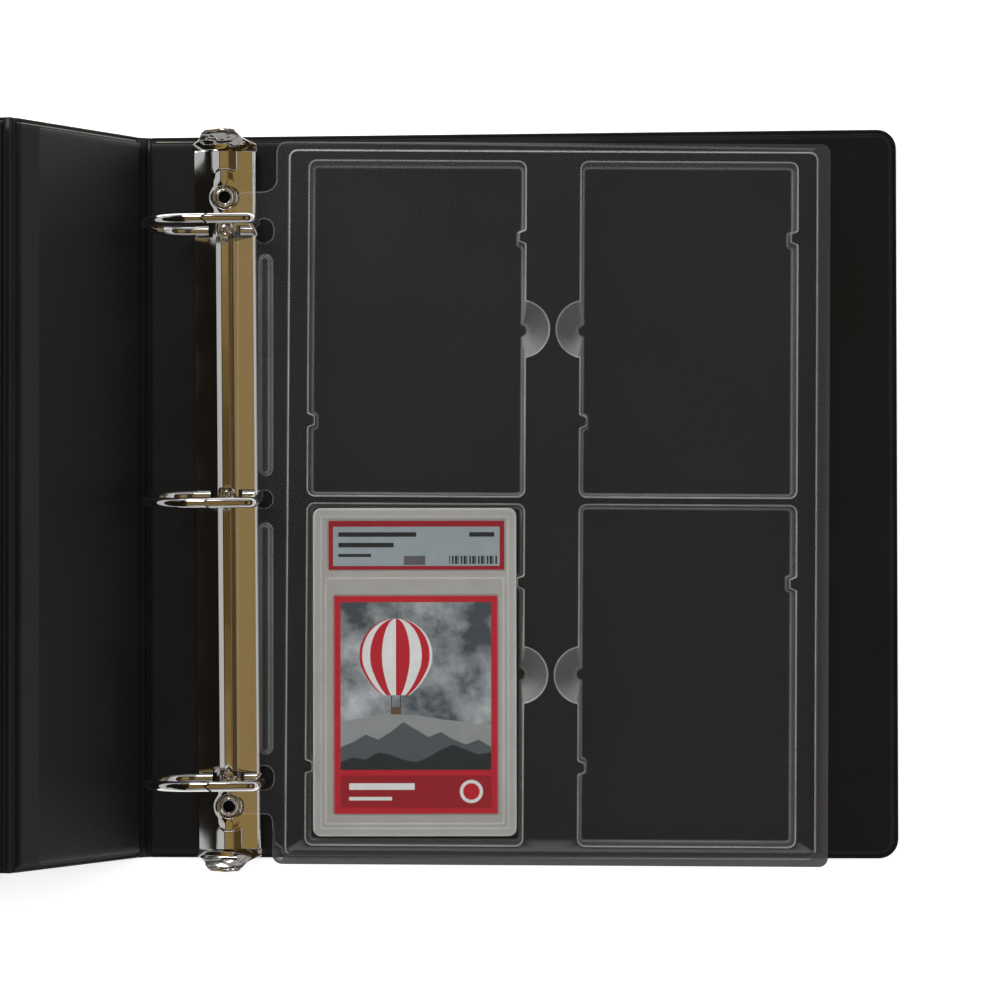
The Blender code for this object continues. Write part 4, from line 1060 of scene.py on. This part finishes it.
def buildPage():
    spec = pageSpec
    sheet = SheetMesh("edgeMask")
    body, flange = pageLow.x + spec["body"], spec["flange"]
    highY, highX, lowY = pageHigh.y + spec["grow"][0], pageHigh.x + spec["grow"][1], pageLow.y - spec["grow"][2]
    top, bottom = pageHigh.y - spec["strip"][0], pageLow.y + spec["strip"][1]
    corners = [(body, lowY), (highX, lowY), (highX, highY), (body, highY), (body, top), (pageLow.x, top),
               (pageLow.x, bottom), (body, bottom)]
    radii = [*spec["bodyCorners"], spec["notch"], spec["stripCorner"], spec["stripCorner"], spec["notch"]]
    edges = []
    for inset, mask in spec["edge"]:
        edges.append(sheet.loop(atLevel(settled(filletedLoop(*insetCorners(corners, radii, inset))), flange), mask))
    sheet.walls(edges)
    left, above, right, below = spec["deckFrom"]
    deckLow = (pageLow.x + left, pageLow.y + below)
    deckHigh = (pageHigh.x - right, pageHigh.y - above)
    steps = []
    for inset, rise, mask in spec["step"]:
        loop = roundedLoop((deckLow[0] + inset, deckLow[1] + inset), (deckHigh[0] - inset, deckHigh[1] - inset),
                           [spec["deckCorner"] - inset] * 4, 8)
        steps.append(sheet.loop(atLevel(settled(loop), flange + rise), mask))
    sheet.walls(steps)
    flangeHoles = [steps[0]]
    ringPlaces = {name: mechanismFrame.translation.y + place - ringShift[name] for name, place in ringYs.items()}
    ringPlaces["middle"] += spec["middleUp"]
    ringPlaces["bottom"] -= spec["bottomDown"]
    for name, place in ringPlaces.items():
        size = spec["middleHole"] if name == "middle" else spec["hole"]
        centre = (pageLow.x + spec["holeX"], place)
        loops = [sheet.loop(atLevel(centredLoop(centre, size, size[0] / 2, -inset, 8), flange), mask)
                 for inset, mask in spec["edge"]]
        for vert in [v for loop in loops for v in loop]:  # painted highlight, stronger on its right side
            vert[sheet.layer] *= spec["holeHighlight"][vert.co.x * 1000 > centre[0]]
        sheet.walls(loops)
        flangeHoles.append(loops[-1])
    for upper, lower in (("top", "middle"), ("middle", "bottom")):
        low, high = ringPlaces[lower] + spec["ribGap"], ringPlaces[upper] - spec["ribGap"]
        centre = (pageLow.x + spec["ribX"], (low + high) / 2)
        loops = []
        for inset, rise, mask in spec["rib"]:
            loop = centredLoop(centre, (spec["ribWidth"], high - low), spec["ribWidth"] / 2, inset, 8)
            loops.append(sheet.loop(atLevel(loop, flange + rise), mask))
        # weaker painted highlight on the rib's left side: painted shade
        for vert in [v for loop in loops for v in loop if v.co.x * 1000 < centre[0]]:
            vert[sheet.layer] *= spec["ribShade"]
        sheet.walls(loops)
        sheet.face(loops[-1])
        flangeHoles.append(loops[0])
    fromEdge, toDeck, up = spec["shadowEnd"]  # the painted shadow band stops at this line
    shadowEnd = sheet.loop(atLevel(settled([(body + fromEdge, lowY + up), (deckLow[0] - toDeck, lowY + up)]), flange))
    sheet.fill([edges[-1]] + flangeHoles, [shadowEnd])
    rims = []
    for column, side in zip(spec["columns"], (1, -1)):
        for row, height in spec["rows"]:
            centre = (pageHigh.x - column, pageHigh.y - row)
            loops = []
            for inset, drop, mask in spec["wall"]:
                share = min(1.0, max(0.0, inset / spec["wallFoot"]))
                scoop = spec["scoop"] + (spec["scoopFloor"] - spec["scoop"]) * share
                scoop -= min(0.0, inset) + max(0.0, inset - spec["wallFoot"])
                loop = settled(pocketLoop(centre, height, side, inset, scoop))
                loops.append(sheet.loop(atLevel(loop, spec["deck"] + drop), mask))
            sheet.walls(loops)
            sheet.face(loops[-1])
            rims.append(loops[0])
            corner, arcSteps = spec["cornerSteps"] + 1, spec["scoopSteps"]
            first = corner if side > 0 else 3 * corner + len(bumpPath(0.0, 0.0, 0.0))  # where the scoop starts
            # painted highlight inside the scoop, brightest towards its lower end
            for loop in loops[4:8]:
                arc = loop[first:first + arcSteps + 1]
                for index, vert in enumerate(arc):
                    lower = easeStep((index if side < 0 else arcSteps - index) * 2 / arcSteps - 1)
                    vert[sheet.layer] = spec["scoopHighlight"][0] + spec["scoopHighlight"][1] * lower
                arc[0][sheet.layer] = arc[-1][sheet.layer] = spec["scoopHighlight"][2]  # painted highlight on the crease at the pocket's wall
    # a line on the deck where the painted shadow fades out
    down, mask, margin, count = spec["shadowFade"]
    start, long = deckLow[0] + margin, deckHigh[0] - deckLow[0] - 2 * margin
    fade = sheet.loop(atLevel(settled([(start + long * k / count, -down) for k in range(count + 1)]), spec["deck"]))
    sheet.fill([steps[-1]] + rims, [fade])
    for vert in fade:
        vert[sheet.shadowBand] = mask
    for index, loop in enumerate(edges + steps):
        for vert in loop:  # painted shadow: strongest along the bottom edge, weaker along the right one
            if vert.co.y * 1000 < lowY + spec["shadowBand"]:
                vert[sheet.shadowBand] = spec["hemMask"][index >= 4]
            elif vert.co.x * 1000 > deckHigh[0] - spec["shadowSide"] and index < 4:
                vert[sheet.shadowBand] = spec["hemMask"][2]
    page = weightNormals(thicken(sheet.finish("formed_page", pageFilm, True), spec["sheet"]))
    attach(page, "page")
    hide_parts("slab_page")


buildPage()
print("scene: page built")


# graded card holder
lieSpec = dict(slabLow=(-0.95, -0.5, 0.0), slabHigh=(-0.35, -0.2, 0.0), cardLow=(-0.75, 0.7, 0.0),
               cardHigh=(0.25, -0.7, 0.0))  # as it lies in the photograph
slabLow = mmBox("slab_back_shell")[0] + Vector(lieSpec["slabLow"])
slabHigh = mmBox("slab_front_shell")[1] + Vector(lieSpec["slabHigh"])
slabSplit = mmBox("slab_front_shell")[0].z
cardLow = mmBox("trading_card")[0] + Vector(lieSpec["cardLow"])
cardHigh = mmBox("trading_card")[1] + Vector(lieSpec["cardHigh"])
labelLow, labelHigh = mmBox("slab_label")
slabSpec = dict(  # inset and height, and the painted highlight mask of the clear half
    corner=3.2, play=0.35, frameIn=4.6, frameBelow=2.6, frameCorner=1.6, wellCorner=0.6, wellFloor=0.05,
    front=((2.9, 0.5, 0.0), (2.6, 0.45, 0.0), (2.4, 0.12, 0.2), (0.2, 0.08, 0.3), (0.0, 0.25, 0.6),
           (0.0, -0.95, 0.7), (0.22, -0.4, 1.0), (0.62, -0.08, 0.8), (1.0, 0.0, 0.2), (2.7, 0.0, 0.1),
           (3.0, -0.06, 0.5), (3.35, -0.3, 0.6), (3.7, -0.42, 0.25), (4.1, -0.45, 0.0)),
    back=((3.7, 0.5), (3.35, 0.4), (2.9, 0.05), (2.6, 0.0), (1.0, 0.0), (0.55, 0.1), (0.2, 0.4), (0.0, 0.95)),
    seam=((0.0, 0.12), (0.25, 0.0)), well=((0.35, 0.0), (0.1, 0.08), (0.0, 0.2)),
    groove=((0.0, 0.0, 0.0), (0.12, -0.04, 0.3), (0.25, -0.2, 0.6), (0.75, -0.25, 0.5), (1.0, -0.05, 0.3),
            (1.15, 0.0, 0.0)))


def sizeLoop(low, high, radius, grow, steps=6):
    radii = [max(radius + grow, 0.3)] * 4
    return roundedLoop((low.x - grow, low.y - grow), (high.x + grow, high.y + grow), radii, steps)


def buildSlab():
    spec = slabSpec
    front = SheetMesh("edgeMask")
    loops = []
    for inset, z, mask in spec["front"]:
        level = slabSplit + z if z > 0 else slabHigh.z + z
        loops.append(front.loop(atLevel(sizeLoop(slabLow, slabHigh, spec["corner"], -inset), level), mask))
    front.walls(loops)
    front.face(loops[0])
    face = slabHigh.z + spec["front"][-1][1]
    inset = spec["frameIn"]  # the card's compartment, below the label
    frameLow = Vector((slabLow.x + inset, slabLow.y + inset, 0))
    frameHigh = Vector((slabHigh.x - inset, labelLow.y - spec["frameBelow"], 0))
    grooves = [front.loop(atLevel(sizeLoop(frameLow, frameHigh, spec["frameCorner"], -inset), face + z), mask)
               for inset, z, mask in spec["groove"]]
    front.walls(grooves)
    front.face(grooves[-1])
    front.fill([loops[-1], grooves[0]])
    shell = weightNormals(front.finish("holder_front", clearCase))
    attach(shell, "card_case")
    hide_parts("slab_front_shell")

    back = SheetMesh()
    outer = [back.loop(atLevel(sizeLoop(slabLow, slabHigh, spec["corner"], -inset), slabLow.z + z))
             for inset, z in spec["back"]]
    seam = [back.loop(atLevel(sizeLoop(slabLow, slabHigh, spec["corner"], -inset), slabSplit - drop))
            for inset, drop in spec["seam"]]
    back.walls(outer + seam)
    back.face(outer[0])
    wells = []
    for low, high in ((cardLow, cardHigh), (labelLow, labelHigh)):
        levels = [(grow, slabSplit - drop) for grow, drop in spec["well"]] + [(0.0, low.z - spec["wellFloor"])]
        well = [back.loop(atLevel(sizeLoop(low, high, spec["wellCorner"], spec["play"] + grow), z))
                for grow, z in levels]
        back.walls(well)
        back.face(well[-1])
        wells.append(well[0])
    back.fill([seam[-1]] + wells)
    shell = weightNormals(back.finish("holder_back", frostedCase))
    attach(shell, "card_case")
    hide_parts("slab_back_shell")


printSpec = dict(layer=0.02, sunk=0.05, border=2.6, corner=0.5)
inkSpec = dict(red=(0.42, 0.0095, 0.021), deepRed=(0.27, 0.0075, 0.014), paper=(0.62, 0.62, 0.60),
               dark=(0.02, 0.021, 0.023), field=(0.25, 0.29, 0.305), hillNear=(0.022, 0.026, 0.028),
               hillFar=(0.075, 0.085, 0.09), glow=(0.24, 0.25, 0.25), basket=(0.11, 0.07, 0.04),
               grey=(0.09, 0.09, 0.095))
inkFinish = dict(roughness=0.45, scale=260.0, depth=0.12, strength=0.06, specular=0.15)
inks = {name: stockMaterial("ink_" + name, colour, **inkFinish) for name, colour in inkSpec.items()}


def cloudMaterial():
    made, tree, shader = newMaterial("ink_cloud", (0.16, 0.18, 0.19), 0.45, 0.0, 0.15)
    mottle = useGroup(tree, mottleGroup, Scale=42.0, Depth=1.0)
    toneColour(tree, shader, mottle.outputs["Tone"], (0.38, 0.40, 0.405), 0.88, 1.16, (0.045, 0.056, 0.064))
    bumpFrom(tree, shader, mottle.outputs["Height"], 0.06, 0.00005)
    return made


inks["cloud"] = cloudMaterial()


def prismInto(verts, faces, slots, outline, low, high, slot):
    start, count = len(verts), len(outline)
    verts += atLevel(outline, low) + atLevel(outline, high)
    faces.append(tuple(start + count + k for k in range(count)))
    faces.append(tuple(start + k for k in reversed(range(count))))
    for k in range(count):
        n = (k + 1) % count
        faces.append((start + k, start + n, start + count + n, start + count + k))
    slots += [slot] * (count + 2)


def printedPiece(name, low, high, node, layers):
    # stacked thin prints on a sheet, each layer a hair above the last
    names = ["paper"] + sorted({ink for ink, outlines in layers})
    verts, faces, slots = [], [], []
    prismInto(verts, faces, slots, sizeLoop(low, high, printSpec["corner"], 0.0, 4), low.z, high.z, 0)
    for index, (ink, outlines) in enumerate(layers):
        for outline in outlines:
            top = high.z + printSpec["layer"] * (index + 1)
            prismInto(verts, faces, slots, outline, high.z - printSpec["sunk"], top, names.index(ink))
    piece = meshObject(name, verts, faces, [inks[n] for n in names])
    for polygon, slotIndex in zip(piece.data.polygons, slots):
        polygon.material_index = slotIndex
        polygon.use_smooth = False
    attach(piece, "card_case")
    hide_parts(node)


def bar(x, y, width, height):
    return [(x, y), (x + width, y), (x + width, y + height), (x, y + height)]


def hills(left, right, floor, crests):
    count = len(crests) - 1
    top = [(right + (left - right) * k / count, floor + crest) for k, crest in enumerate(reversed(crests))]
    return [(left, floor), (right, floor)] + top


balloonSpec = dict(place=(22.0, -21.0), radius=14.5, gores=8, start=4, sweep=150, steps=18, taperFrom=-0.2, taper=0.25,
                   stretch=1.22, basket=(-2.0, -23.5, 4.0, 3.0), ropes=(-1.9, 1.6), rope=(-20.6, 0.3, 4.6))


def gore(centre, start, end):
    # one coloured panel of the balloon, between two meridians
    spec = balloonSpec

    def edge(share, turn):
        drop = math.cos(turn)
        width = math.sin(turn) * (1.0 + spec["taper"] * min(0.0, drop - spec["taperFrom"]))
        drop *= 1.0 if drop > 0 else spec["stretch"]
        return (centre[0] + spec["radius"] * share * width, centre[1] + spec["radius"] * drop)

    turns = [math.radians(spec["start"] + spec["sweep"] * k / spec["steps"]) for k in range(spec["steps"] + 1)]
    return [edge(start, t) for t in reversed(turns)] + [edge(end, t) for t in turns]


def buildPrints():
    inset = printSpec["border"]
    left, right, low, high = cardLow.x, cardHigh.x, cardLow.y, cardHigh.y
    picture = (left + inset, low + 17.5, right - inset, high - inset)
    spec = balloonSpec
    balloon = (picture[0] + spec["place"][0], picture[3] + spec["place"][1])
    meridians = [math.sin(math.radians(-90 + 180 / spec["gores"] * k)) for k in range(spec["gores"] + 1)]
    gores = [gore(balloon, a, b) for a, b in zip(meridians, meridians[1:])]
    crestsFar = [9, 11, 14, 12, 15, 19, 16, 13, 15, 12, 10, 12, 9]
    crestsNear = [3, 5, 4, 7, 6, 4, 3, 5, 8, 10, 8, 6, 7]
    crestsGlow = [19, 20, 20.5, 22, 23, 22, 21.5, 21, 20, 19.5, 19, 18, 18]
    ground = (picture[0], picture[2], picture[1])
    x, y, wide, tall = spec["basket"]
    basket = bar(balloon[0] + x, balloon[1] + y, wide, tall)
    y, wide, tall = spec["rope"]
    ropes = [bar(balloon[0] + x, balloon[1] + y, wide, tall) for x in spec["ropes"]]
    layers = [
        ("red", [sizeLoop(cardLow, cardHigh, printSpec["corner"], -0.05, 4)]),
        ("cloud", [bar(picture[0], picture[1], picture[2] - picture[0], picture[3] - picture[1])]),
        ("glow", [hills(*ground, crestsGlow)]), ("hillFar", [hills(*ground, crestsFar)]),
        ("hillNear", [hills(*ground, crestsNear)]),
        ("red", gores[0::2]), ("paper", gores[1::2]),
        ("basket", [basket]), ("dark", ropes),
        ("deepRed", [bar(left + inset, low + inset, right - left - 2 * inset, 12.6)]),
        ("paper", [bar(left + 6.0, low + 9.6, 26.0, 2.6), bar(left + 6.0, low + 5.4, 17.0, 1.4),
                   circleLoop((right - 10.5, low + 8.9), 4.6, 40)]),
        ("red", [circleLoop((right - 10.5, low + 8.9), 3.3, 40)])]
    printedPiece("printed_card", cardLow, cardHigh, "trading_card", layers)
    left, right, low, high = labelLow.x, labelHigh.x, labelLow.y, labelHigh.y
    stripes = [bar(right - 22.0 + 1.15 * k, low + 2.4, 0.35 + 0.3 * (k * 7 % 3), 3.2) for k in range(17)]
    layers = [
        ("deepRed", [sizeLoop(labelLow, labelHigh, printSpec["corner"], -0.05, 4)]),
        ("field", [bar(left + 1.9, low + 1.6, right - left - 3.8, high - low - 4.0)]),
        ("dark", [bar(left + 4.0, high - 6.4, 31.0, 1.8), bar(left + 4.0, high - 10.6, 22.0, 1.8),
                  bar(left + 4.0, high - 14.4, 13.0, 1.2), bar(right - 14.0, high - 6.4, 10.0, 1.8)] + stripes),
        ("grey", [bar(left + 30.0, low + 2.0, 8.5, 3.6)])]
    printedPiece("printed_label", labelLow, labelHigh, "slab_label", layers)


buildSlab()
buildPrints()
print("scene: card holder built")
